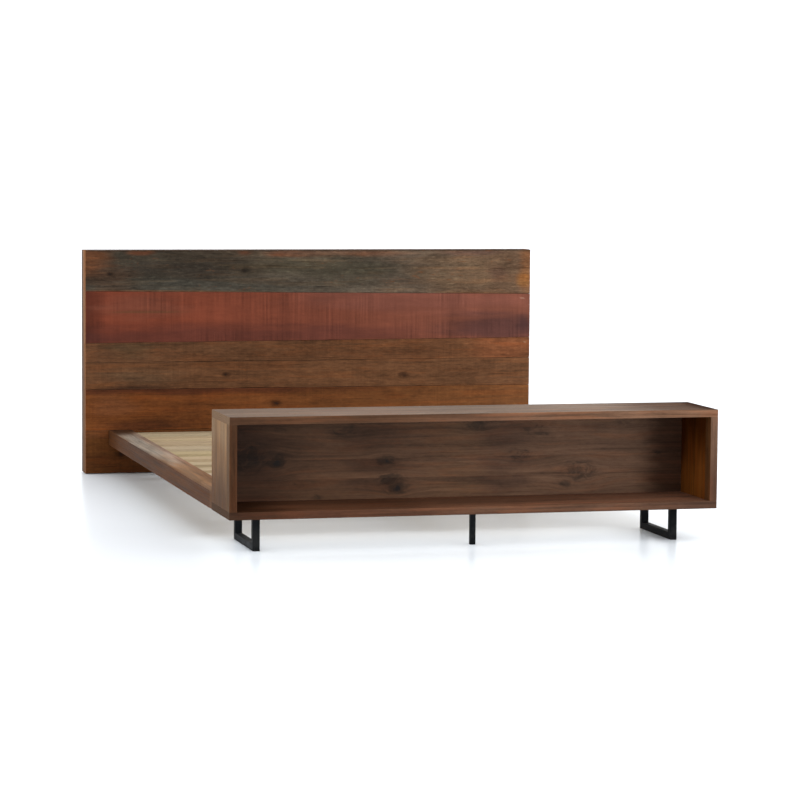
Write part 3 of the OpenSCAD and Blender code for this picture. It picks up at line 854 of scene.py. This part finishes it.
def make_headboard(pine):
    weathered = wood("weathered plank", ring=9, figure=0.04, fibre=0.26, bands=0.20,
                     clouds=0.55, mottle=0.36, fleck=0.42, specks=0.4, cracks=0.22, saw=0.05,
                     second=((1.4, 1.1, 0.86), 0.35), roughness=(0.55, 0.8), specular=0.05,
                     rub=0.1, bump=1.0)
    weathered_brown = wood("weathered brown plank", ring=9, figure=0.06, fibre=0.28,
                           bands=0.22, clouds=0.45, mottle=0.30, fleck=0.2, specks=0.3,
                           cracks=0.25, saw=0.08, second=((1.3, 1.0, 0.76), 0.35),
                           roughness=(0.5, 0.75), specular=0.05, bump=0.9)
    painted = wood("worn red plank", ring=9, figure=0.0, fibre=0.06, bands=0.06,
                   clouds=0.32, mottle=0.08, pores=0.12, saw=0.18, roughness=(0.45, 0.65),
                   specular=0.08, bump=0.6, rub_colour=(0.05, 0.015, 0.008))
    oiled = wood("oiled reclaimed plank", ring=10, figure=0.08, fibre=0.26, bands=0.22,
                 clouds=0.38, mottle=0.26, fleck=0.10, specks=0.2, cracks=0.2, saw=0.08,
                 second=((1.3, 1.0, 0.78), 0.35), roughness=(0.42, 0.62), specular=0.06,
                 bump=0.7)
    rust, grey, moss = (116, 64, 38), (80, 78, 70), (64, 60, 44)
    # each plank's fade to a lighter colour at its right end is partly its own colour and partly
    # painted light falling from the right
    make_plank(1, (64, 57, 47), weathered, 11, stains_and_painted_light(
        ((106, 66, 42), 0, 0.78, 0.07, 0.5, 0.9), ((84, 60, 45), 0.05, 0.3, 0.07, 0.5, 0.6),
        (rust, 0.12, 0.94, 0.03, 0.06, 0.6), (rust, 0.35, 0.93, 0.02, 0.06, 0.6),
        (rust, 0.46, 0.92, 0.06, 0.09, 0.8), ((124, 74, 48), 0.6, 0.92, 0.12, 0.08, 0.8),
        ((106, 97, 84), 0.6, 0.5, 0.26, 0.7, 0.55),
        ((58, 51, 44), 0.25, 0.55, 0.18, 0.3, 0.7), (grey, 0.3, 0.15, 0.3, 0.22, 0.6),
        (moss, 0.52, 0.6, 0.2, 0.3, 0.5), ((117, 87, 64), 0.95, 0.5, 0.07, 0.8, 0.5),
        ((138, 92, 60), 0.995, 0.6, 0.022, 0.7, 0.8),
        ((146, 96, 52), 0.985, 0.34, 0.018, 0.2, 0.85),
        ((106, 78, 68), 0.86, 0.95, 0.07, 0.08, 0.7), ((124, 98, 73), 0.84, 0.45, 0.12, 0.6, 0.5),
        ((88, 62, 50), 0.925, 0.45, 0.03, 0.25, 0.7), ((58, 54, 44), 0.6, 0.45, 0.1, 0.4, 0.5),
        ((118, 84, 60), 0.16, 0, 0.22, 0.03, 0.8), ((112, 74, 48), 0.9, 0, 0.18, 0.03, 0.7),
        fade=(106, 83, 66), rim=(58, 42, 32), ends=(TAN, TAN * 0.9)), 0.5, 0.25, 0.9,
        knots=[(0.351, 0.52, 8), (0.055, 0.42, 6)])
    make_plank(2, (130, 63, 42), painted, 22, stains_and_painted_light(
        ((84, 38, 24), 0, 0.5, 0.05, 2, 0.75), ((122, 70, 53), 0.12, 0.75, 0.12, 0.3, 0.6),
        ((104, 66, 42), 0.13, 0.6, 0.1, 0.03, 0.8), ((84, 46, 40), 0.3, 0.1, 0.5, 0.25, 0.6),
        ((92, 56, 50), 0.93, 0.25, 0.14, 0.35, 0.9), ((134, 80, 66), 0.75, 0.85, 0.3, 0.3, 0.6),
        ((170, 130, 110), 0.982, 0.9, 0.004, 0.02, 0.8),
        ((66, 42, 40), 0.985, 0.35, 0.02, 0.2, 0.6),
        fade=(131, 76, 58), ends=(TAN * 0.9, TAN * 0.85)), 0.1, 0.15, 0.3)
    make_plank(3, (103, 69, 46), weathered_brown, 33, stains_and_painted_light(
        ((116, 76, 50), 0, 0.55, 0.03, 0.8, 0.7), ((84, 68, 48), 0.1, 0.7, 0.06, 0.5, 0.5),
        ((136, 82, 52), 0.95, 0.55, 0.1, 0.9, 0.9),
        ((170, 135, 105), 0.988, 0.75, 0.003, 0.04, 0.6),
        fade=(114, 74, 48), ends=(TAN * 0.82, TAN)), 0.3, 0.15, 0.6)
    make_plank(4, (103, 68, 44), weathered_brown, 44, stains_and_painted_light(
        ((118, 76, 46), 0.03, 0.1, 0.04, 0.14, 0.9), ((104, 78, 56), 0.12, 0.45, 0.1, 0.3, 0.6),
        ((80, 52, 36), 0.1, 0.04, 0.1, 0.1, 0.8),
        fade=(116, 78, 52), ends=(TAN * 0.8, TAN * 0.9)), 0.4, 0.35, 0.7,
        knots=[(0.31, 0.5, 7), (0.71, 0.4, 9)])
    make_plank(5, (118, 66, 30), oiled, 55, stains_and_painted_light(
        ((88, 47, 27), 0.2, 0.97, 0.5, 0.12, 0.9), ((120, 72, 42), 0.06, 0.62, 0.06, 0.3, 0.7),
        ((82, 46, 26), 0.13, 0.08, 0.1, 0.16, 0.7),
        fade=(124, 78, 44), ends=(TAN * 0.74, TAN * 0.8)), 0.7, 0.35, 0.5,
        knots=[(0.42, 0.6, 10), (0.83, 0.35, 8)])
    make_plank(6, (101, 59, 26), oiled, 66, stains_and_painted_light(
        ((112, 66, 36), 0.03, 0.93, 0.08, 0.14, 0.7), ((84, 46, 20), 0.1, 0.2, 0.2, 0.3, 0.6),
        fade=(104, 64, 36), ends=(TAN * 0.66, TAN * 0.75)), 0.2, 0.3, 0.5,
        knots=[(0.077, 0.44, 8), (0.55, 0.4, 9)])

    edge_wood = wood("sawn edge wood", ring=6, figure=0.25, fibre=0.4, bands=0.35,
                     roughness=(0.5, 0.7), specular=0.03, bump=0.8)
    stained_wood = wood("stained hardwood", figure=0.25, fibre=0.35, bands=0.35, clouds=0.3,
                        roughness=(0.42, 0.6), specular=0.03)
    for side, out, seed in (("left", -1, 71), ("right", 1, 72)):
        make_board(f"headboard_end_{side}", GRAIN_Z_SIDE, (126, 88, 58), edge_wood, seed,
                   step=(40, 12), radius=1.2, tint=stains_and_painted_light(fade=(166, 114, 74)))
        node = f"headboard_post_{side}"
        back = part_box(node)[1].y
        bolts = [((b.x, back, b.z), Y, 1, BOLT_RECESS) for b in bolt_places() if b.x * out > 0]
        make_board(node, GRAIN_Z, (106, 76, 54), stained_wood, seed + 5, step=(40, 20),
                   holes=bolts)
    for part, axes, base, seed in (("top_strip", GRAIN_X_FLAT, (100, 76, 56), 81),
                                   ("rail_top", GRAIN_X, (96, 70, 50), 82),
                                   ("rail_bottom", GRAIN_X, (90, 64, 46), 83)):
        make_board("headboard_" + part, axes, base, stained_wood, seed)
    veneer = wood("stained veneer", ring=16, figure=0.4, fibre=0.25, bands=0.3, clouds=0.3,
                  roughness=(0.48, 0.62), specular=0.08)
    make_board("headboard_back_panel", GRAIN_X, (112, 82, 58), veneer, 84, radius=0.8,
               step=(40, 12))
    for part, seed in (("left", 91), ("middle", 92), ("right", 93)):
        make_board(f"headboard_batten_{part}", GRAIN_Z, PINE, pine, seed,
                   knots=[(0.3, 0.4, 9), (0.72, 0.65, 7)], step=(16, 10))


# ---------------------------------------------------------------- platform

def divided(outline, step, extra=()):
    """An outline with points added along its straight runs, and at the extra places."""
    points = []
    for here, after in zip(outline, np.roll(outline, -1, axis=0)):
        points.append(here)
        run = np.linalg.norm(after - here)
        count = 1 if run < 1.5 * step else int(math.ceil(run / step))
        at = list(np.linspace(0, 1, count + 1)[1:-1])
        for place_at in extra:
            t = np.dot(place_at - here, after - here) / run ** 2
            if 0 < t < 1 and np.linalg.norm(here + t * (after - here) - place_at) < SAME:
                at.append(t)
        spread = [here + t * (after - here) for t in sorted(at)]
        if extra and len(spread) > 2:
            spread = [p for p in spread if all(
                not SAME <= np.linalg.norm(p - e) <= 6 * MM for e in extra)]
        points += spread
    return np.array(points)


def make_rail(side, out, seed, material):
    """A side rail: a wide top with a wall down its outer edge, in one section."""
    node = f"side_rail_{side}"
    low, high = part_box(node)
    ledger_low, ledger_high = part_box(f"slat_ledger_{side}")
    inner, outer = sorted((abs(low.x), abs(high.x)))
    wall = max(abs(ledger_low.x), abs(ledger_high.x))
    under = ledger_high.z
    corners = [(inner, under), (wall, under), (wall, low.z), (outer, low.z),
               (outer, high.z), (inner, high.z)]
    if out < 0:
        corners = [(-x, z) for x, z in corners][::-1]
    bolt = next(b for b in bolt_places() if b.x * out > 0)
    hole_y, hole_r = bolt.y + BARREL_FROM_TIP, BARREL_R + 0.1
    half = HOLE_CELL * hole_r * MM
    extra = [np.array((bolt.x + d, low.z)) for d in (-half, half)]
    outline = divided(rounded_outline(corners, 1.5 * MM, 4), 20 * MM, extra)
    stations = with_cells(np.linspace(low.y, high.y, 45), [hole_y], half)
    points, rings = sweep(outline, stations, 1.2 * MM)
    n, count = len(outline), len(points)
    faces = tube_faces(n, rings)
    hole = ((bolt.x, hole_y, low.z), Z, -1, [(hole_r, 0), (hole_r, 8)])
    points, quads = drill(points, np.array(faces[:-2]), [hole])
    worn = np.array([c for c in corners if abs(abs(c[0]) - wall) > SAME
                     or abs(c[1] - under) > SAME])  # all but the hidden inner corner
    reach = np.linalg.norm(points[:, None, [X, Z]] - worn[None], axis=2).min(axis=1)
    wear = np.exp(-reach / (3 * MM)) * np.clip(0.8 + 0.5 * noise(points, (4, 9, 4), seed), 0, 1)
    cap = np.zeros(len(points))
    cap[:n] = cap[(rings - 1) * n:count] = 1
    piece = mesh_object(node + "_board", points, quads + faces[-2:])
    edge_t = 1.0 if out > 0 else 0.0
    # rail tint: the top is painted lighter and greyer, with a whitish patch, as painted sheen, and
    # the dark patch at the head end is painted shadow
    set_wood_attributes(
        piece, points - np.array(low), np.array(high - low), GRAIN_Y_FLAT, seed,
        tone(146, 112, 84), wear, cap, tint=stains_and_painted_light(
            ((134, 98, 66), 0.14, 0.5, 0.05, 3, 0.5), ((172, 160, 146), 0.70, 0.5, 0.30, 3, 0.85),
            ((136, 92, 66), 0.5, 1 - edge_t, 0.5, 0.4, 0.6),
            ((66, 40, 23), 0.985, 0.5, 0.09, 3, 0.95),
            ((96, 61, 37), 0.5, edge_t, 9, 0.02, 0.97), fade=(128, 100, 78)))
    piece.data.materials.append(material)
    place(weighted_normals(piece), node)


def make_platform(walnut, rail_wood, pine):
    make_rail("left", -1, 101, rail_wood)
    make_rail("right", 1, 102, rail_wood)
    make_board("foot_board", GRAIN_X_FLAT, (112, 82, 62), walnut, 103)
    for side, seed in (("left", 111), ("right", 112)):
        make_board(f"slat_ledger_{side}", GRAIN_Y_FLAT, PINE * 0.9, pine, seed, "deck_screws",
                   step=(24, 12), knots=[(0.2, 0.5, 8), (0.56, 0.3, 6), (0.83, 0.6, 9)])
    for node, axes, seed in (("foot_ledger", GRAIN_X_FLAT, 113),
                             ("foot_apron", GRAIN_X_FLAT, 114),
                             ("centre_beam", GRAIN_Y_UPRIGHT, 115)):
        make_board(node, axes, PINE * 0.92, pine, seed, "frame_screws", step=(24, 12),
                   knots=[(0.35, 0.6, 8), (0.7, 0.35, 7)])
    random = np.random.default_rng(7)
    for number in range(1, SLATS + 1):
        knots = [(random.uniform(0.05, 0.95), random.uniform(0.15, 0.85),
                  random.uniform(5, 10)) for _ in range(random.integers(1, 5))]
        shade = random.uniform(0.88, 1.08) * np.array([1, random.uniform(0.96, 1.03),
                                                       random.uniform(0.9, 1.06)])
        make_board(f"slat_{number}", GRAIN_X_FLAT, PINE * shade, pine, 120 + number,
                   "deck_screws", radius=2.2, knots=knots, step=(18, 10))
    for number in (1, 2):
        make_board(f"support_leg_{number}", GRAIN_Z, PINE * 0.95, pine, 140 + number,
                   radius=2, step=(16, 10))


# ---------------------------------------------------------------- bench

def on_back_board(node, marks):
    """Knots given as places in the frame, X and Z, a radius and a strength, as places on a
    back board."""
    low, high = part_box(node)
    return [((x - low.x) / (high.x - low.x), (z - low.z) / (high.z - low.z), radius, force)
            for x, z, radius, force in marks
            if low.z - 1.6 * radius * MM < z < high.z + 1.6 * radius * MM]


BACK_KNOTS = [
    (-0.745, 0.298, 34, 0.95), (-0.633, 0.287, 12, 1.1), (-0.556, 0.200, 8, 0.6),
    (-0.492, 0.158, 8, 0.6), (-0.250, 0.277, 13, 0.95), (-0.238, 0.214, 17, 0.95),
    (-0.210, 0.188, 15, 1.2), (0.232, 0.292, 18, 0.75), (0.400, 0.184, 10, 0.6),
    (0.452, 0.226, 24, 0.95), (0.743, 0.290, 7, 0.7), (-0.40, 0.385, 22, 0.45),
    (0.075, 0.400, 16, 0.8), (0.300, 0.372, 26, 0.4), (-0.62, 0.392, 14, 0.35),
    (0.620, 0.396, 14, 0.5)]


def make_bench(walnut, walnut_side, walnut_dark):
    # bench top: the lighter patches near the middle are a painted reflection, the dark patches at
    # the right end are painted shade, and the front edge is painted lighter towards the right,
    # where the key light falls
    make_board("bench_top", GRAIN_X_FLAT, (118, 98, 82), walnut, 201, radius=1.3,
               step=(30, 12), satin=(1, 1, 1, 1, 1, 1, 1, 1, 0.7, 0.15, 0), tint=stains_and_painted_light(
        ((132, 108, 92), 0.30, 0.4, 0.20, 1.4, 0.6), ((142, 118, 100), 0.76, 0.4, 0.10, 1.4, 0.6),
        ((96, 71, 56), 0.99, 0.5, 0.19, 2, 0.9), ((64, 44, 33), 1.0, 0.5, 0.035, 2, 0.95),
        fade=(130, 108, 91), ends=((120, 100, 82), (112, 84, 64)),
        front=((80, 54, 38), (90, 62, 44), (98, 69, 52), (122, 90, 70), (128, 94, 73))))
    # bench bottom: the dark patch at the left end and the dark left end of the front edge are
    # painted shade in the bay; the underside is darkened and made bluish so that it bounces less
    # warm light onto the floor
    make_board("bench_bottom", GRAIN_X_FLAT, (108, 71, 50), walnut, 202, "frame_screws",
               radius=1.3, step=(30, 12), tint=stains_and_painted_light(
        ((50, 27, 13), 0.0, 0.5, 0.14, 3, 0.9), ((92, 60, 42), 0.3, 0.4, 0.12, 1, 0.5),
        fade=(124, 87, 67), ends=((74, 57, 45), (100, 72, 54)),
        front=((60, 40, 29), (99, 64, 47), (96, 68, 52), (99, 71, 55), (90, 64, 51)),
        faces=((0.30, 0.32, 0.36), (1, 1, 1))))
    # each side's panel, its patches of painted light and shade, what its low face and the rest are
    # multiplied by as painted shade, its lipping and the lipping's tint
    sides = [
        # left side: lighter at the top and darker at the bottom is painted light from above, the
        # inner face is darkened as painted bay shade, and the lipping's outer face gets the same
        # lighter-upwards painted light
        ("left", 211, (138, 102, 69),
         [((1.4, 1.65, 1.9), 0.95, 0.4, 0.3, 1.2, 0.7),
          ((0.40, 0.31, 0.21), 0.0, 0.5, 0.5, 3, 0.85)],
         ((1, 1, 1), (0.5, 0.5, 0.55)), (82, 54, 36),
         stains_and_painted_light(front=((104, 77, 52), (121, 90, 63)))),
        # right side: the orange base, with the inner face made more orange and the rest cooler,
        # paints the shaded inner face; the dark patches at the top and towards the back are painted
        # shade, and the light patch low down is painted light
        ("right", 212, (128, 78, 40),
         [((0.32, 0.25, 0.16), 1.0, 0.5, 0.55, 3, 0.9),
          ((0.36, 0.27, 0.25), 0.65, 1.0, 0.55, 0.24, 0.85),
          ((1.5, 1.65, 1.6), 0.08, 0.65, 0.32, 0.6, 0.75)],
         ((1.0, 0.85, 0.55), (0.78, 0.95, 1.25)), (90, 64, 50),
         stains_and_painted_light(fade=(113, 85, 67), front=((120, 78, 48), (106, 68, 38))))]
    for side, seed, base, patches, faces, strip, strip_tint in sides:
        panel = tone(*base)
        patches += [((0.68, 0.68, 0.68), 0.6, 0.72, 0.6, 0.05, 0.6),
                    ((0.74, 0.74, 0.74), 0.4, 0.30, 0.5, 0.04, 0.5)]
        make_board(f"bench_side_{side}", GRAIN_Z_SIDE, panel, walnut_side, seed, radius=0.7,
                   step=(16, 8), tint=stains_and_painted_light(*[(panel * by, *where) for by, *where in patches],
                                              faces=faces))
        make_board(f"bench_lipping_{side}", GRAIN_Z, strip, walnut, seed + 5, radius=0.9,
                   step=(16, 8), tint=strip_tint)
    # back boards: the dark patches at both ends are painted shade in the bay's corners, and the
    # fade lighter towards the right is painted light
    for number in range(1, BACK_BOARDS + 1):
        node = f"bench_back_board_{number}"
        make_board(node, GRAIN_X, (104, 74, 54), walnut_dark, 220 + number, radius=0.5, step=(9, 6),
                   knots=on_back_board(node, BACK_KNOTS), tint=stains_and_painted_light(
            ((71, 47, 34), 0.0, 0.5, 0.17, 4, 0.9), ((70, 45, 31), 0.99, 0.5, 0.085, 4, 0.95),
            ((84, 58, 44), 0.33, 0.8, 0.08, 0.6, 0.5), ((88, 64, 52), 0.60, 0.8, 0.06, 0.7, 0.5),
            ((118, 86, 62), 0.50, 0.3, 0.08, 0.5, 0.4), fade=(124, 93, 73)))


# ---------------------------------------------------------------- legs and feet

def tube_section(side, radius=2.2 * MM):
    half = side / 2
    square = [(-half, -half), (half, -half), (half, half), (-half, half)]
    return rounded_outline(square, radius, 3)


def swept_tube(path, outwards, section, across):
    """A square tube along a bent path in the YZ plane, mitred at its corners. outwards gives
    the way out of the bend at each point of the path."""
    points = [(across + b, y + a * out_y, z + a * out_z)
              for (y, z), (out_y, out_z) in zip(path, outwards) for a, b in section]
    return np.array(points), tube_faces(len(section), len(path))


def weld_bead(path, radius, seed, closed=False):
    """A rippled bead of weld along a path of points."""
    path = np.asarray(path, float)
    ends = list(zip(path[:-1], path[1:])) + ([(path[-1], path[0])] if closed else [])
    centres = []
    for start, end in ends:
        count = max(2, int(np.linalg.norm(end - start) / BEAD_STEP))
        centres += [start + (end - start) * t for t in np.linspace(0, 1, count, endpoint=False)]
    if not closed:
        centres.append(path[-1])
    centres = np.array(centres)
    ahead = np.roll(centres, -1, axis=0) - np.roll(centres, 1, axis=0)
    if not closed:
        ahead[0], ahead[-1] = centres[1] - centres[0], centres[-1] - centres[-2]
    random = np.random.default_rng(seed)
    sizes = radius * (1 + 0.16 * np.sin(np.arange(len(centres)) * 1.9)
                      + random.uniform(-0.08, 0.08, len(centres)))
    points, n = [], 8
    for centre, way, size in zip(centres, unit(ahead), sizes):
        side = unit(np.cross(way, (0, 0, 1.0)))
        up = np.cross(side, way)
        for angle in np.arange(n) * 2 * math.pi / n:
            points.append(centre + size * (math.cos(angle) * side + math.sin(angle) * up))
    return np.array(points), tube_faces(n, len(centres), closed)


def outward(piece):
    """Turns every face of a closed piece outwards."""
    work = bmesh.new()
    work.from_mesh(piece.data)
    bmesh.ops.recalc_face_normals(work, faces=work.faces)
    work.to_mesh(piece.data)
    work.free()
    piece.data.set_sharp_from_angle(angle=SHARP_ANGLE)
    return piece


def metal_piece(name, parts, material, wear=None):
    points, faces = joined(parts)
    piece = outward(mesh_object(name, points, faces))
    if wear is not None:
        set_floats(piece.data, "wear", wear(points))
    piece.data.materials.append(material)
    return weighted_normals(piece)


def edge_wear(low, high, reach=2.2 * MM):
    """Wear that is strongest where a point lies near two faces of a box."""
    low, high = np.asarray(low), np.asarray(high)

    def wear(points):
        d = np.minimum(np.abs(points - low), np.abs(high - points))
        return np.exp(-np.sort(d, axis=1)[:, 1] / reach)
    return wear


def drilled_plate(low, high, holes, radius=0.6 * MM):
    """A steel plate with rounded edges and countersunk holes."""
    low, high = np.asarray(low, float), np.asarray(high, float)
    size = high - low
    holes = shifted(holes, -low)
    points, faces = box_grid(size, radius, [40 * MM] * 3, holes, 2)
    points, faces = drill(eased(points, size, radius)[0], faces, holes)
    return points + low, faces


def top_plate(low, high):
    """The screwed plate at the top of a leg's box."""
    low = (low.x, low.y, high.z - PLATE_T)
    return drilled_plate(low, high, screw_holes("frame_screws", (low, high), PLATE_HOLE))


def make_sled_leg(side, steel, seed):
    node = f"sled_leg_{side}"
    low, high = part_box(node)
    tube = high.x - low.x
    middle, half, top = (low.x + high.x) / 2, tube / 2, high.z - PLATE_T
    path = [(low.y + half, top), (low.y + half, low.z + half),
            (high.y - half, low.z + half), (high.y - half, top)]
    loop = swept_tube(path, [(-1, 0), (-1, -1), (1, -1), (1, 0)], tube_section(tube), middle)
    places = itertools.product((low.y + tube, high.y - tube), (top, low.z + tube))
    beads = [weld_bead([(x, y, z) for x in (low.x + 1.5 * MM, high.x - 1.5 * MM)], 2 * MM,
                       seed + number) for number, (y, z) in enumerate(places)]
    place(metal_piece(node + "_frame", [loop, top_plate(low, high)] + beads, steel,
                      edge_wear(low, high)), node)


def make_centre_post(steel, tube=19 * MM):
    node = "centre_post"
    low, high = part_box(node)
    middle, half, top = (low + high) / 2, tube / 2, high.z - PLATE_T

    def around(outline, *heights):
        return np.array([(middle.x + a, middle.y + b, z) for z in heights for a, b in outline])

    section = tube_section(tube)
    parts = [(around(section, low.z, top), tube_faces(len(section), 2)), top_plate(low, high),
             weld_bead(around(tube_section(tube + 1 * MM, 4 * MM), top), 1.8 * MM, 9, True)]
    wear = edge_wear((middle.x - half, middle.y - half, low.z),
                     (middle.x + half, middle.y + half, high.z))
    place(metal_piece(node + "_frame", parts, steel, wear), node)


def hexagon(flat, limit=np.inf):
    """The radius of a hexagon at each angle, cut to a circle. flat is half its width."""
    def radius(angles):
        return np.minimum(flat / np.cos(angles % (math.pi / 3) - math.pi / 6), limit)
    return radius


def thread(z, pitch=1.5):
    """The radius of a 10 mm thread at each angle, at a height."""
    def radius(angles):
        phase = (z / pitch - angles / (2 * math.pi)) % 1
        return 4.5 + 0.5 * (1 - np.abs(2 * phase - 1))
    return radius


def foot_of(low, high):
    """The middle of the underside of a box."""
    return np.array([(low.x + high.x) / 2, (low.y + high.y) / 2, low.z])


def make_levelling_foot(number, body, nylon, zinc):
    node = f"levelling_foot_{number}"
    low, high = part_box(node)
    centre = foot_of(low, high)
    pad = turned([(9, 7), (15.4, 7), (16.5, 6.5), (17, 5.4), (17, 1), (16.6, 0.3), (15.8, 0)], 48)
    nut_r = 9.8
    nut = turned([(hexagon(nut_r * math.cos(math.pi / 6), limit), z) for limit, z in (
        (8.7, 14), (9.3, 13.6), (nut_r, 13), (nut_r, 6.8))], 48)
    place(metal_piece(f"{body}_pad", [(p + centre, f) for p, f in (pad, nut)], nylon), node,
          body)
    top = (high.z - low.z) / MM
    profile = [(3.6, top), (4.4, top - 0.7)]
    profile += [(thread(z), z) for z in np.arange(top - 1, 13, -0.25)]
    points, faces = turned(profile)
    stem = metal_piece(f"{body}_stem", [(points + centre, faces)], zinc)
    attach(stem, body)


# ---------------------------------------------------------------- fasteners

def star(middle_r, swing):
    return lambda angles: middle_r + swing * np.cos(6 * angles)


def stood(part, head, axis, out):
    """Turns a part made along Z so that its top faces the way out of a face."""
    points, faces = part
    moved = np.zeros_like(points)
    for column, target, sign in ((0, axis + 1, 1), (1, axis + 2, out), (2, axis, out)):
        moved[:, target % 3] = points[:, column] * sign
    return moved + head, faces


def make_screws(node, material):
    parts = []
    for number, (head, axis, out, length) in enumerate(screw_places(node)):
        tip = length / MM
        profile = [(star(1.45, 0.3), -1.7), (star(1.55, 0.35), 0), (4.2, 0), (4.6, -0.35),
                   (2.3, -3), (2.3, 5 - tip), (0.4, -tip)]
        parts.append(stood(turned(profile, phase=0.7 * number), head, axis, out))
    place(metal_piece(node + "_set", parts, material), node)


def make_bolts(material):
    """The rail bolts and their barrel nuts."""
    node, parts, half = "rail_bolts", [], BARREL_L / 2
    head_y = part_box(node)[1].y
    for tip in bolt_places():
        length = (head_y - tip.y) / MM
        head = turned([(hexagon(3), -2.6), (hexagon(3), 0), (BOLT_HEAD_R - 1.2, 0),
                       (BOLT_HEAD_R, -1.2), (BOLT_HEAD_R, -BOLT_HEAD_H), (BOLT_R, -BOLT_HEAD_H),
                       (BOLT_R, 1 - length), (BOLT_R - 1, -length)], 36)
        parts.append(stood(head, np.array([tip.x, head_y, tip.z]), Y, 1))
        points, faces = turned([(1, half), (BARREL_R - 0.8, half), (BARREL_R, half - 0.8),
                                (BARREL_R, 0.8 - half), (BARREL_R - 0.8, -half), (1, -half)], 32)
        parts.append((points + (tip.x, tip.y + BARREL_FROM_TIP, tip.z), faces))
    place(metal_piece(node + "_set", parts, material), node)


def make_glides(material):
    node = "headboard_glides"
    points, faces = turned([(4, 3), (14, 3), (14.8, 2.4), (15, 1.4), (14.2, 0.3), (13.2, 0)], 40)
    parts = [(points + foot_of(low, high), faces) for low, high in boxes_of(node)]
    place(metal_piece(node + "_set", parts, material), node)


def make_rail_plates(material):
    node = "rail_plates"
    parts = [drilled_plate(*box, screw_holes("frame_screws", box, THIN_PLATE_HOLE))
             for box in boxes_of(node)]
    place(metal_piece(node + "_set", parts, material, edge_wear(*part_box(node))), node)


def finish_cad_node(node, material, width):
    """Gives a CAD solid that stays its material and eased edges."""
    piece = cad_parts[node]
    for slot in piece.material_slots:
        slot.material = material
    if not piece.material_slots:
        piece.data.materials.append(material)
    edges = piece.modifiers.new("eased edges", "BEVEL")
    edges.width = width
    edges.segments = 2
    edges.limit_method = "ANGLE"
    edges.angle_limit = math.radians(50)


# ---------------------------------------------------------------- the bed frame

planed_pine = wood("planed pine", ring=5, figure=0.22, fibre=0.16, bands=0.14, clouds=0.08,
                   pores=0.08, knot_core=(0.10, 0.035, 0.012), knot_halo=(0.62, 0.46, 0.34),
                   knot_ragged=0.3, rub=0.1, roughness=(0.5, 0.65), specular=0.15, bump=0.35)
satin_walnut = wood("satin walnut", figure=0.24, fibre=0.28, bands=0.40, clouds=0.34,
                    mottle=0.14, pores=0.5, second=((1.28, 0.98, 0.80), 0.5),
                    knot_halo=(0.5, 0.45, 0.42), end_tone=(1.7, 1.5, 1.3),
                    roughness=(0.52, 0.64), specular=0.03, rub=0.12, bump=0.4)
rail_walnut = wood("satin walnut rail", figure=0.2, fibre=0.28, bands=0.42, clouds=0.36,
                   pores=0.5, second=((1.15, 1.0, 0.85), 0.4), roughness=(0.50, 0.62),
                   specular=0.02, rub=0.12, bump=0.4)
side_walnut = wood("satin walnut side", figure=0.26, fibre=0.3, clouds=0.25, pores=0.5,
                   second=((1.2, 1.0, 0.82), 0.5), roughness=(0.46, 0.58), specular=0.02,
                   rub=0.12, bump=0.4)
dark_walnut = wood("knotty dark walnut", ring=11, figure=0.16, fibre=0.22, bands=0.36,
                   clouds=0.42, mottle=0.16, second=((1.18, 0.94, 0.80), 0.5),
                   knot_core=(0.010, 0.010, 0.011), knot_halo=(0.38, 0.44, 0.50),
                   knot_ragged=1.0, knot_edge=(1.0, 1.9), roughness=(0.42, 0.56),
                   specular=0.08, rub=0.1, bump=0.4)
powder_coat = coating("black powder coat", (0.0065, 0.0072, 0.0080), 0.0, (0.42, 0.6),
                      0.12 * MM, worn=(0.02, 0.02, 0.02), specular=0.035)
zinc_plate = coating("zinc plate", (0.55, 0.56, 0.57), 1.0, (0.28, 0.46), 0.04 * MM,
                     worn=(0.75, 0.75, 0.75), grit=500)
black_oxide = coating("black oxide", (0.05, 0.05, 0.052), 0.7, (0.35, 0.5), 0.04 * MM)
black_nylon = coating("black nylon", (0.02, 0.02, 0.021), 0.0, (0.45, 0.6), 0.06 * MM)
pale_nylon = coating("pale nylon", (0.62, 0.60, 0.52), 0.0, (0.42, 0.55), 0.05 * MM)
beech = raw_wood("beech dowel", (0.62, 0.45, 0.28), (0.48, 0.33, 0.19))

make_headboard(planed_pine)
make_platform(satin_walnut, rail_walnut, planed_pine)
make_bench(satin_walnut, side_walnut, dark_walnut)
make_sled_leg("left", powder_coat, 1)
make_sled_leg("right", powder_coat, 5)
make_centre_post(powder_coat)
make_levelling_foot(1, "front_levelling_foot", black_nylon, zinc_plate)
make_levelling_foot(2, "head_levelling_foot", black_nylon, zinc_plate)
make_screws("deck_screws", zinc_plate)
make_screws("frame_screws", black_oxide)
make_bolts(black_oxide)
make_glides(pale_nylon)
make_rail_plates(zinc_plate)
finish_cad_node("beam_hangers", zinc_plate, 0.5 * MM)
finish_cad_node("bench_dowels", beech, 0.4 * MM)
